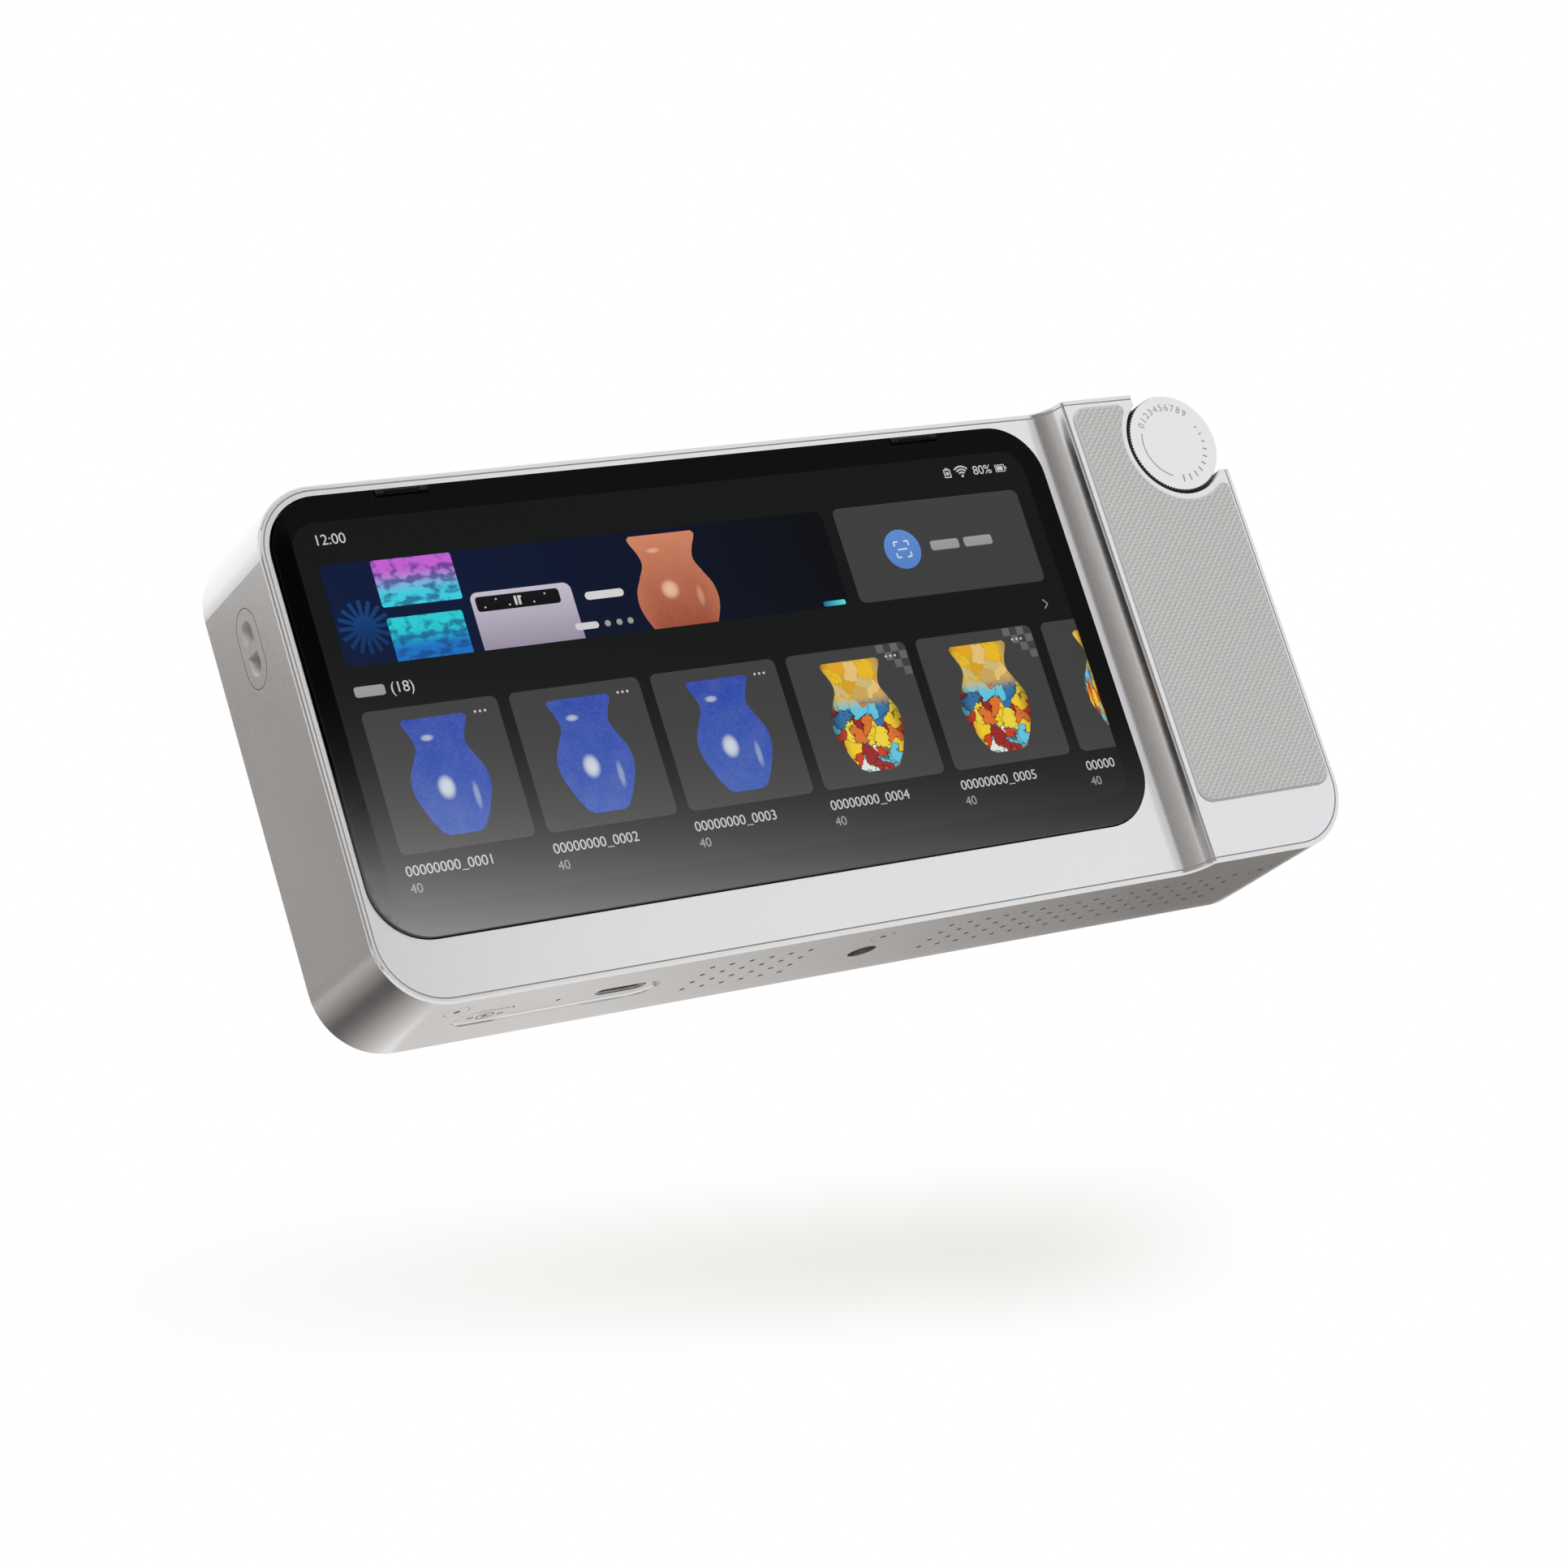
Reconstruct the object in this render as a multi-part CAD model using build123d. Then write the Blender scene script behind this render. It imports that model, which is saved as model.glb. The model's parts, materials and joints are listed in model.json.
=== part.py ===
"""Handheld three-d scanner with a flip-up screen, a raised grip and a brightness knob.

Frame: X runs along the screen to the user's right, Y runs from the screen towards the
scanned subject, Z is up. The origin is the mouth of the tripod thread in the bottom face.
All lengths are millimetres.
"""
import os
from math import asin, cos, pi, sin, sqrt

from build123d import *

# Body
body_width = 189.0
body_height = 87.9
body_depth = 26.4
corner_radius = 11.7
wall = 2.2
edge_round = 0.4
back_round = 0.6
cut_overrun = 5.0
match_tolerance = 0.01

# Raised grip at the right end, reached over a quarter-round ramp
grip_step = 4.7
grip_width = 31.65
crest_round = 0.6

# Front plate and back cover, let into the rim of the housing
plate_thickness = 1.6
cover_thickness = 1.6
seam_inset = 0.94
seam_gap = 0.25

# Screen: a hinged slab that closes into a well
glass_margin = 2.15
glass_bottom = 10.85
glass_end_gap = 0.6
glass_thickness = 1.0
screen_proud = 0.7
screen_gap = 0.3
case_depth = 3.3
case_wall = 1.0
case_back = 0.8
panel_border = 3.4
panel_thickness = 1.2
panel_radius = 4.5
well_clearance = 0.4
well_wall = 0.6
well_floor = 0.8
well_fit = 0.05
magnet_length = 8.0
magnet_width = 3.0
magnet_thickness = 0.8
well_magnet_thickness = 0.4
magnet_spread_share = 0.64
magnet_rise = 4.0

# Screen hinge
hinge_spread_share = 0.667
hinge_drop = 0.6
flip_gap = 0.15
knuckle_radius = 0.55
knuckle_gap = 0.25
lug_neck_share = 0.75
ear_gap = 0.15
lug_length = 6.0
ear_length = 1.6
pin_radius = 0.25
pin_clearance = 0.03
press_clearance = 0.01

# Tripod thread, a quarter-inch tapping hole in a boss of the housing
tripod_inset = 13.6
tripod_bore = 5.1
tripod_depth = 8.0
tripod_boss = 11.0
tripod_cap = 1.2

# Case screws in the bottom face
screw_inset = 6.0
screw_end_inset = 14.3
screw_head = 4.2
screw_head_height = 1.2
screw_shank = 2.2
screw_length = 8.0
screw_socket = 1.3
screw_socket_depth = 0.8
screw_clearance = 0.1
lug_width = 7.0
lug_reach = 1.9
lug_height = 6.6

# Vent holes in the bottom face
vent_pitch = 3.8
vent_hole = 1.0
vent_rows = 4
vent_groove_gap = 7.0
vent_end_inset = 19.5
vent_first_x = 14.1
vent_first_y = 6.4
back_vent_columns = 13
back_vent_rows = 4
back_vent_x = 14.0
back_vent_z = 5.2
back_vent_slant_share = 0.5
mesh_margin = 0.7
mesh_thickness = 0.3

# Finger groove in the bottom face
groove_length = 37.6
groove_width = 7.8
groove_depth = 0.6
groove_round = 0.35
groove_end_inset = 16.3
groove_y = 12.2

# Start button in the groove
button_length = 10.3
button_width = 4.8
button_sink = 0.15
button_offset = -13.0
button_travel = 0.5
button_clearance = 0.15
button_flange = 0.6
button_flange_thickness = 0.7
button_rest_gap = 0.05
plunger_radius = 1.0
plunger_clearance = 0.1
switch_width = 6.0
switch_height = 3.0
switch_gap = 0.15
switch_cavity = 1.3

# Port, microphone and the small board that carries them
usb_offset = 12.0
usb_width = 8.94
usb_height = 3.26
usb_length = 7.0
usb_shell = 0.3
usb_recess = 0.3
usb_opening_gap = 0.12
usb_tongue = 0.7
usb_tongue_width = 6.7
usb_tongue_length = 5.0
mic_offset = 0.5
mic_hole = 0.8
mic_diameter = 3.0
mic_height = 1.6
io_board_reach_left = 21.6
io_board_reach_right = 20.9
io_board_rise = 3.7
io_board_height = 10.0
io_board_thickness = 1.0
io_post_width = 2.0
io_post_depth = 2.4

# Strap anchor in the left side
anchor_y = 11.95
anchor_drop = 22.1
anchor_length = 13.4
anchor_width = 7.9
anchor_depth = 5.4
anchor_flange = 1.0
anchor_gap = 0.1
strap_slot_length = 9.4
strap_slot_width = 3.9
strap_slot_depth = 4.2
strap_bar_height = 1.8
strap_bar_thickness = 1.6

# Brightness knob in the corner notch
knob_inset = 10.1
knob_radius = 9.25
knob_thickness = 7.0
knob_teeth = 96
knob_tooth_depth = 0.22
knob_face_sink = 0.1
notch_radius = 10.0
notch_half = 6.1
notch_floor_gap = 0.6
notch_wall = 1.2
notch_floor = 1.6
shaft_radius = 2.0
shaft_clearance = 0.04
shaft_socket = 4.5
shaft_tail_share = 0.74
bush_radius = 3.0
bush_clearance = 0.03
encoder_radius = 5.5
encoder_bench_gap = 2.2

# Grip pad
pad_margin_left = 1.5
pad_margin_right = 1.5
pad_margin_top = 1.8
pad_bottom = 10.8
pad_radius = 2.8
pad_arc_radius = 11.1
pad_arc_round = 1.2
pad_raise = 0.7

# Optics window in the back cover
window_side = 8.5
window_height = 22.0
window_top = 5.2
window_radius = 6.0
window_thickness = 0.8
window_seal = 0.2
window_gap = 0.12
window_ledge = 1.2

# Optical bench and its modules
bench_end_gap = 6.0
bench_height = 21.0
bench_thickness = 2.0
bench_foot_radius = 2.5
bench_foot_inset = 4.0
bench_foot_shares = (-0.375, 0.36)
lens_setback = 0.6
camera_size = 12.0
camera_body = 5.5
barrel_radius = 4.0
barrel_length = 4.5
lens_radius = 3.2
lens_thickness = 1.0
barrel_clearance = 0.5
camera_shares = (-0.44, -0.19, 0.285, 0.44)
rgb_share = -0.31
projector_width = 20.0
projector_height = 15.0
projector_body = 6.0
projector_mouth_width = 13.0
projector_mouth_height = 10.0
projector_lens_thickness = 1.2
projector_mouth_wall = 1.2
led_board_thickness = 1.0
led_board_setback = 1.6
led_board_margin = 1.5
led_radius = 1.4
led_height = 1.0
led_row_share = 0.26
led_column_shares = (-0.385, -0.24, -0.14, 0.17, 0.39)
led_post_radius = 1.2
led_post_shares = (-0.25, 0.36)

# Chassis and main board
chassis_thickness = 1.2
chassis_inset_left = 6.5
chassis_inset_right = 0.15
chassis_rise = 0.15
chassis_gap = 0.5
pillar_radius = 2.4
pillar_height = 2.5
board_inset_left = 14.0
board_fan_gap = 3.5
board_rise = 3.0
board_drop = 4.2
board_thickness = 1.2
board_pillar_inset = 4.0
board_screw_head = 4.0
board_screw_head_height = 1.4
board_screw_shank = 2.0
chip_size = 16.0
chip_thickness = 1.4
chip_inset = 22.0
sink_width = 38.0
sink_height = 30.0
sink_base = 1.6
sink_depth = 8.0
fin_count = 9
fin_thickness = 1.0

# Fan
fan_inset = 18.0
fan_size = 33.0
fan_depth = 9.0
fan_wall = 1.4
fan_bore_radius = 15.0
fan_blade_gap = 0.6
fan_hub_radius = 6.5
fan_blades = 9
fan_blade_thickness = 0.8
fan_axle_radius = 1.0
fan_axle_clearance = 0.05
fan_outlet_width = 20.0

# Battery behind the grip
battery_width = 25.0
battery_knob_gap = 5.0
battery_depth = 12.0
battery_bottom = 10.6
battery_round = 1.6

# Speaker behind the left vents
speaker_share = 0.515
speaker_width = 8.0
speaker_height = 4.6
speaker_cone = 3.0
speaker_cone_depth = 0.8

# Places that follow from the sizes above
half_width = body_width / 2
front_y = -tripod_inset
grip_y = front_y - grip_step
back_y = front_y + body_depth
crest_x = half_width - grip_width
ramp_x = crest_x - grip_step
glass_left = -half_width + glass_margin
glass_top = body_height - glass_margin
glass_width = ramp_x - glass_end_gap - glass_left
glass_height = glass_top - glass_bottom
glass_x = glass_left + glass_width / 2
glass_z = glass_top - glass_height / 2
glass_radius = corner_radius - glass_margin
glass_y = front_y - screen_proud
case_y = glass_y + glass_thickness
case_back_y = case_y + case_depth
well_y = case_back_y + well_clearance
well_back_y = well_y + well_floor
hinge_y = front_y - (screen_proud + flip_gap) / 2
hinge_z = glass_top - hinge_drop
groove_line_y = front_y + groove_y
groove_x = -half_width + groove_end_inset + groove_length / 2
button_x = groove_x + button_offset
usb_x = groove_x + usb_offset
mic_x = groove_x + mic_offset
io_board_left = groove_x - io_board_reach_left
io_board_right = groove_x + io_board_reach_right
vent_left_room = -groove_x - groove_length / 2 - vent_groove_gap - vent_first_x
vent_columns_left = int(vent_left_room / vent_pitch) + 1
vent_right_room = half_width - vent_end_inset - vent_first_x
vent_columns_right = int(vent_right_room / vent_pitch) + 1
screw_y = front_y + screw_inset
knob_x = half_width - knob_inset
knob_z = body_height - knob_inset
notch_floor_y = grip_y + knob_face_sink + knob_thickness + notch_floor_gap
pocket_back_y = notch_floor_y + notch_floor
battery_height = knob_z - notch_radius - notch_wall - battery_knob_gap - battery_bottom
cover_y = back_y - cover_thickness
anchor_z = body_height - anchor_drop
window_width = body_width - 2 * window_side
window_z = body_height - window_top - window_height / 2
chassis_y = well_back_y
chassis_back_y = chassis_y + chassis_thickness
chassis_left = -half_width + chassis_inset_left
chassis_right = ramp_x - chassis_inset_right
chassis_bottom = glass_bottom + chassis_rise
lens_y = cover_y - lens_setback
camera_y = lens_y - barrel_length - camera_body
bench_y = camera_y - bench_thickness
bench_width = window_width - 2 * bench_end_gap
bench_low_z = window_z - bench_height / 2
encoder_length = bench_y - pocket_back_y - encoder_bench_gap
shaft_tail = encoder_length * shaft_tail_share
board_y = chassis_back_y + pillar_height
board_back_y = board_y + board_thickness
fan_x = chassis_right - fan_inset
fan_z = (chassis_bottom + bench_low_z) / 2
board_left = chassis_left + board_inset_left
board_right = fan_x - fan_size / 2 - board_fan_gap
board_bottom = chassis_bottom + board_rise
board_top = bench_low_z - board_drop
chip_x = board_right - chip_inset
chip_z = (board_bottom + board_top) / 2
usb_face_y = groove_line_y + usb_height / 2
io_back_y = usb_face_y + io_board_thickness
io_board_top = io_board_rise + io_board_height
led_board_y = lens_y - led_board_setback - led_board_thickness
button_flange_z = wall + button_rest_gap
button_top_z = button_flange_z + button_flange_thickness
switch_z = button_top_z + button_travel + switch_gap


# Shapes by their limits
def plate_xz(outline, y_from, y_to):
    """A flat X-Z outline as a solid between two depths."""
    plane = Plane(origin=(0, y_from, 0), x_dir=(1, 0, 0), z_dir=(0, -1, 0))
    return extrude(plane * outline, amount=y_from - y_to)


def plate_xy(outline, z_from, z_to):
    """A flat X-Y outline as a solid between two heights."""
    return extrude(Plane.XY.offset(z_from) * outline, amount=z_to - z_from)


def plate_yz(outline, x_from, x_to):
    """A flat Y-Z outline as a solid between two places along the body."""
    return extrude(Plane.YZ.offset(x_from) * outline, amount=x_to - x_from)


def rod_y(radius, x, z, y_from, y_to):
    return plate_xz(Pos(x, z) * Circle(radius), y_from, y_to)


def rod_z(radius, x, y, z_from, z_to):
    return plate_xy(Pos(x, y) * Circle(radius), z_from, z_to)


def rod_x(radius, y, z, x_from, x_to):
    return plate_yz(Pos(y, z) * Circle(radius), x_from, x_to)


def bar(x_from, x_to, y_from, y_to, z_from, z_to):
    """A plain block between limits."""
    middle = Pos((x_from + x_to) / 2, (y_from + y_to) / 2, (z_from + z_to) / 2)
    return middle * Box(x_to - x_from, y_to - y_from, z_to - z_from)


# Outlines
def body_outline(inset):
    """Front view of the body, drawn in from its outer edge."""
    rounded = RectangleRounded(body_width - 2 * inset, body_height - 2 * inset, corner_radius - inset)
    return Pos(0, body_height / 2) * rounded


def screen_outline(grow):
    """Front view of the screen slab, grown all round."""
    rounded = RectangleRounded(glass_width + 2 * grow, glass_height + 2 * grow, glass_radius + grow)
    return Pos(glass_x, glass_z) * rounded


def window_outline(grow):
    """Front view of the optics window, grown all round."""
    rounded = RectangleRounded(window_width + 2 * grow, window_height + 2 * grow, window_radius + grow)
    return Pos(0, window_z) * rounded


def notch_outline(grow):
    """Round seat of the knob, opened to the corner of the body."""
    side = knob_inset + notch_half + cut_overrun + grow
    corner = Pos(knob_x - notch_half - grow + side / 2, knob_z - notch_half - grow + side / 2)
    return Pos(knob_x, knob_z) * Circle(notch_radius + grow) + corner * Rectangle(side, side)


def button_outline(grow):
    return Pos(button_x, groove_line_y) * SlotOverall(button_length + 2 * grow, button_width + 2 * grow)


def usb_outline(grow):
    return Pos(usb_x, groove_line_y) * SlotOverall(usb_width + 2 * grow, usb_height + 2 * grow)


def ahead_of_front(depth):
    """Everything ahead of the front surface, moved back into the body by a depth."""
    near_y = grip_y - cut_overrun
    far_x = half_width + cut_overrun
    radius = grip_step + depth
    end_angle = asin(depth / radius)
    middle_angle = (end_angle + pi / 2) / 2
    arc_start = (ramp_x, grip_y + radius)
    arc_middle = (ramp_x + radius * cos(middle_angle), grip_y + radius * sin(middle_angle))
    arc_end = (ramp_x + sqrt(radius**2 - depth**2), grip_y + depth)
    outline = make_face(
        [
            Line((-far_x, near_y), (-far_x, arc_start[1])),
            Line((-far_x, arc_start[1]), arc_start),
            ThreePointArc(arc_start, arc_middle, arc_end),
            Line(arc_end, (far_x, arc_end[1])),
            Line((far_x, arc_end[1]), (far_x, near_y)),
            Line((far_x, near_y), (-far_x, near_y)),
        ]
    )
    return plate_xy(outline, -cut_overrun, body_height + cut_overrun)


def body_block():
    """The full outer form of the closed body, with its rounded edges."""
    block = plate_xz(body_outline(0), grip_y, back_y) - ahead_of_front(0)
    crest = [
        edge
        for edge in block.edges().filter_by(Axis.Z)
        if abs(edge.center().X - crest_x) < match_tolerance
        and abs(edge.center().Y - grip_y) < match_tolerance
    ]
    block = fillet(crest, crest_round)
    outer = [edge for edge in block.edges() if abs(edge.center().Z - body_height / 2) > match_tolerance]
    sides = [edge for edge in block.edges() if half_width - abs(edge.center().X) < match_tolerance]
    rim = [edge for edge in outer + sides if edge not in block.edges().filter_by(Axis.Y)]
    front = [edge for edge in rim if edge.center().Y < back_y - match_tolerance]
    block = fillet(front, edge_round)
    back = [edge for edge in block.edges() if edge.bounding_box().min.Y > back_y - match_tolerance]
    return fillet(back, back_round)


# Places of repeated pieces
screw_x = half_width - screw_end_inset
screw_places = [-screw_x, 0, screw_x]
hinge_spread = glass_width * hinge_spread_share
hinge_places = [glass_x - hinge_spread / 2, glass_x + hinge_spread / 2]
magnet_spread = glass_width * magnet_spread_share
magnet_places = [glass_x - magnet_spread / 2, glass_x + magnet_spread / 2]
camera_places = [window_width * share for share in camera_shares]
rgb_x = window_width * rgb_share
led_places = [
    (window_width * column, window_z + window_height * row)
    for column in led_column_shares
    for row in (-led_row_share, led_row_share)
]
board_places = [
    (x, z)
    for x in (board_left + board_pillar_inset, board_right - board_pillar_inset)
    for z in (board_bottom + board_pillar_inset, board_top - board_pillar_inset)
]
bench_places = [
    (x, z)
    for x in (window_width * bench_foot_shares[0], window_width * bench_foot_shares[1])
    for z in (bench_low_z + bench_foot_inset, bench_low_z + bench_height - bench_foot_inset)
]
post_places = [window_width * share for share in led_post_shares]


def vent_places():
    """Centres of the vent holes in the bottom face."""
    rows = [front_y + vent_first_y + vent_pitch * row for row in range(vent_rows)]
    left = [-vent_first_x - vent_pitch * column for column in range(vent_columns_left)]
    right = [vent_first_x + vent_pitch * column for column in range(vent_columns_right)]
    return [(x, y) for x in left + right for y in rows]


def back_vent_places():
    """Centres of the vent holes low in the back cover, each row set over by half a pitch."""
    places = []
    for row in range(back_vent_rows):
        for column in range(back_vent_columns - row):
            steps = column + row * back_vent_slant_share - (back_vent_columns - 1) / 2
            places.append((back_vent_x + vent_pitch * steps, back_vent_z + vent_pitch * row))
    return places


# Casing
def main_housing(block):
    """Rim and side walls, with the bottom face's holes and the knob's pocket."""
    pocket = plate_xz(notch_outline(notch_wall), grip_y, pocket_back_y)
    tunnel = plate_xz(body_outline(wall), grip_y - cut_overrun, back_y + cut_overrun) - pocket
    front_seat = plate_xz(body_outline(seam_inset - seam_gap / 2), grip_y - cut_overrun, back_y)
    front_seat = front_seat & ahead_of_front(plate_thickness)
    back_seat = plate_xz(body_outline(seam_inset - seam_gap / 2), cover_y, back_y + cut_overrun)
    notch = plate_xz(notch_outline(0), grip_y - cut_overrun, notch_floor_y)
    well_relief = plate_xz(screen_outline(screen_gap + well_wall + well_fit), front_y, well_back_y)
    shell = block - tunnel - front_seat - back_seat - notch - well_relief
    shell = shell - rod_y(bush_radius + bush_clearance, knob_x, knob_z, grip_y, pocket_back_y + cut_overrun)
    boss = rod_z(tripod_boss / 2, 0, 0, wall, tripod_depth + tripod_cap)
    posts = [
        bar(x, x + io_post_width, io_back_y, io_back_y + io_post_depth, wall, io_board_top)
        for x in (io_board_left, io_board_right - io_post_width)
    ]
    shell = shell + [boss] + posts
    openings = [
        finger_groove(),
        rod_z(tripod_bore / 2, 0, 0, -cut_overrun, tripod_depth),
        plate_xy(button_outline(button_clearance), -cut_overrun, wall + cut_overrun),
        plate_xy(usb_outline(usb_opening_gap), -cut_overrun, wall + cut_overrun),
        rod_z(mic_hole / 2, mic_x, groove_line_y, -cut_overrun, wall + cut_overrun),
        plate_yz(anchor_outline(anchor_gap), -half_width - cut_overrun, -half_width + wall + cut_overrun),
    ]
    for x in screw_places:
        head_room = screw_head / 2 + screw_clearance
        shank_room = screw_shank / 2 + screw_clearance
        openings.append(rod_z(head_room, x, screw_y, -cut_overrun, screw_head_height))
        openings.append(rod_z(shank_room, x, screw_y, -cut_overrun, wall + cut_overrun))
    for x, y in vent_places():
        openings.append(rod_z(vent_hole / 2, x, y, -cut_overrun, wall + cut_overrun))
    return shell - openings


def finger_groove():
    """Shallow scoop round the start button and the port, with a rounded floor edge."""
    outline = Pos(groove_x, groove_line_y) * SlotOverall(groove_length, groove_width)
    scoop = plate_xy(outline, -cut_overrun, groove_depth)
    floor_edges = scoop.faces().sort_by(Axis.Z)[-1].edges()
    return fillet(floor_edges, groove_round)


def anchor_outline(grow):
    """Side view of the strap anchor, grown all round."""
    slot = SlotOverall(anchor_length + 2 * grow, anchor_width + 2 * grow, rotation=90)
    return Pos(front_y + anchor_y, anchor_z) * slot


def front_plate(block):
    """Light front skin with the screen opening, the ramp, the grip plateau and three screw lugs."""
    plate = plate_xz(body_outline(seam_inset + seam_gap / 2), grip_y - cut_overrun, back_y)
    plate = (block & plate) & ahead_of_front(plate_thickness)
    plate = plate - plate_xz(screen_outline(screen_gap), grip_y - cut_overrun, back_y)
    plate = plate - plate_xz(notch_outline(0), grip_y - cut_overrun, back_y)
    for x in screw_places:
        face_y = grip_y if x > crest_x else front_y
        lug_z = wall + screw_clearance
        back = screw_y + lug_reach
        plate = plate + bar(
            x - lug_width / 2, x + lug_width / 2, face_y + plate_thickness, back, lug_z, lug_z + lug_height
        )
        plate = plate - rod_z(
            screw_shank / 2 + press_clearance, x, screw_y, 0, screw_length + screw_clearance
        )
    return plate


def back_cover():
    """Flat cover with the opening and ledge for the optics window."""
    cover = plate_xz(body_outline(seam_inset + seam_gap / 2), cover_y, back_y)
    seat_y = back_y - window_thickness - window_seal
    cover = cover - plate_xz(window_outline(window_gap), seat_y, back_y + cut_overrun)
    cover = cover - plate_xz(window_outline(-window_ledge), cover_y - cut_overrun, back_y)
    far_y = back_y + cut_overrun
    return cover - [rod_y(vent_hole / 2, x, z, cover_y - cut_overrun, far_y) for x, z in back_vent_places()]


def optics_window():
    return plate_xz(window_outline(0), back_y - window_thickness, back_y)


def optics_seal():
    ring_back = back_y - window_thickness
    ring = plate_xz(window_outline(0), ring_back - window_seal, ring_back)
    return ring - plate_xz(window_outline(-window_ledge), ring_back - cut_overrun, ring_back + cut_overrun)


def grip_pad():
    """Raised pad on the grip plateau, drawn back round the knob."""
    left = crest_x + pad_margin_left
    right = half_width - pad_margin_right
    top = body_height - pad_margin_top
    width = right - left
    height = top - pad_bottom
    whole = Pos((left + right) / 2, (top + pad_bottom) / 2) * RectangleRounded(width, height, pad_radius)
    seat = Pos(knob_x, knob_z) * Circle(pad_arc_radius)
    corner = Pos(knob_x + pad_arc_radius / 2, knob_z + pad_arc_radius / 2)
    outline = whole - seat - corner * Rectangle(pad_arc_radius, pad_arc_radius)
    tips = [
        vertex
        for vertex in outline.vertices()
        if abs(sqrt((vertex.X - knob_x) ** 2 + (vertex.Y - knob_z) ** 2) - pad_arc_radius) < match_tolerance
    ]
    outline = fillet(tips, pad_arc_round)
    return plate_xz(outline, grip_y - pad_raise, grip_y)


def strap_anchor():
    """Flush insert with two slots that meet behind a bar."""
    face_x = -half_width
    inner_x = face_x + anchor_depth
    insert = plate_yz(anchor_outline(0), face_x, inner_x)
    insert = insert + plate_yz(anchor_outline(anchor_flange), face_x + wall, inner_x)
    slot = Pos(front_y + anchor_y, anchor_z) * SlotOverall(strap_slot_length, strap_slot_width, rotation=90)
    insert = insert - plate_yz(slot, face_x - cut_overrun, face_x + strap_slot_depth)
    half_slot = strap_slot_width / 2
    middle = front_y + anchor_y
    return insert + bar(
        face_x,
        face_x + strap_bar_thickness,
        middle - half_slot,
        middle + half_slot,
        anchor_z - strap_bar_height / 2,
        anchor_z + strap_bar_height / 2,
    )


def case_screws():
    """Three flush screws that hold the front plate's lugs to the housing."""
    screws = []
    for x in screw_places:
        screw = rod_z(screw_head / 2, x, screw_y, 0, screw_head_height)
        screw = screw + rod_z(screw_shank / 2, x, screw_y, 0, screw_length)
        socket = Pos(x, screw_y) * RegularPolygon(screw_socket / 2, 6)
        screws.append(screw - plate_xy(socket, -cut_overrun, screw_socket_depth))
    return Part() + screws


def vent_mesh():
    """Dust mesh sheets laid over the two vent fields."""
    depth = vent_pitch * (vent_rows - 1)
    first_y = front_y + vent_first_y - mesh_margin
    last_y = front_y + vent_first_y + depth + mesh_margin
    left_end = -vent_first_x - vent_pitch * (vent_columns_left - 1) - mesh_margin
    right_end = vent_first_x + vent_pitch * (vent_columns_right - 1) + mesh_margin
    left = bar(left_end, -vent_first_x + mesh_margin, first_y, last_y, wall, wall + mesh_thickness)
    right = bar(vent_first_x - mesh_margin, right_end, first_y, last_y, wall, wall + mesh_thickness)
    return Part() + [left, right]


# Screen
def hinge_zone(length, gap):
    """Room cut from the top edge of the slab at each hinge."""
    low = hinge_z - knuckle_radius - knuckle_gap
    high = glass_top + cut_overrun
    half = length / 2 + gap
    near_y = glass_y - cut_overrun
    far_y = case_back_y + cut_overrun
    return [bar(x - half, x + half, near_y, far_y, low, high) for x in hinge_places]


def screen_well():
    """Tub behind the front plate that the screen closes into."""
    front = front_y + plate_thickness
    tub = plate_xz(screen_outline(screen_gap + well_wall), front, well_back_y)
    tub = tub - plate_xz(screen_outline(screen_gap), front - cut_overrun, well_y)
    return tub - magnet_pair(well_y, well_y + well_magnet_thickness)


def magnet_pair(y_from, y_to):
    """Two bar magnets side by side near the lower edge of the screen."""
    low = glass_bottom + magnet_rise
    half = magnet_length / 2
    return [bar(x - half, x + half, y_from, y_to, low, low + magnet_width) for x in magnet_places]


def well_magnets():
    """Two magnets let into the floor of the well."""
    return Part() + magnet_pair(well_y, well_y + well_magnet_thickness)


def screen_case():
    """Rear tray of the screen slab, with the hinge ears at its top edge."""
    tray = plate_xz(screen_outline(0), case_y, case_back_y)
    hollow = plate_xz(screen_outline(-case_wall), case_y - cut_overrun, case_back_y - case_back)
    tray = tray - hollow - hinge_zone(lug_length, ear_gap)
    for x in hinge_places:
        for side in (-1, 1):
            near = x + side * (lug_length / 2 + ear_gap)
            far = near + side * ear_length
            low, high = min(near, far), max(near, far)
            tray = tray + rod_x(knuckle_radius, hinge_y, hinge_z, low, high)
            neck_low = hinge_z - knuckle_radius
            neck_high = glass_top - hinge_drop / 2
            tray = tray + bar(low, high, hinge_y, case_y + case_wall, neck_low, neck_high)
            tray = tray - rod_x(pin_radius + press_clearance, hinge_y, hinge_z, low, high)
    return tray


def display_panel():
    """Display module bonded behind the cover glass."""
    width = glass_width - 2 * panel_border
    height = glass_height - 2 * panel_border
    outline = Pos(glass_x, glass_z) * RectangleRounded(width, height, panel_radius)
    return plate_xz(outline, case_y, case_y + panel_thickness)


def cover_glass():
    glass = plate_xz(screen_outline(0), glass_y, case_y)
    return glass - hinge_zone(lug_length + 2 * ear_length + 2 * ear_gap, ear_gap)


def screen_magnets():
    """Two magnets inside the tray that hold the screen shut."""
    rear = case_back_y - case_back
    return Part() + magnet_pair(rear - magnet_thickness, rear)


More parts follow.
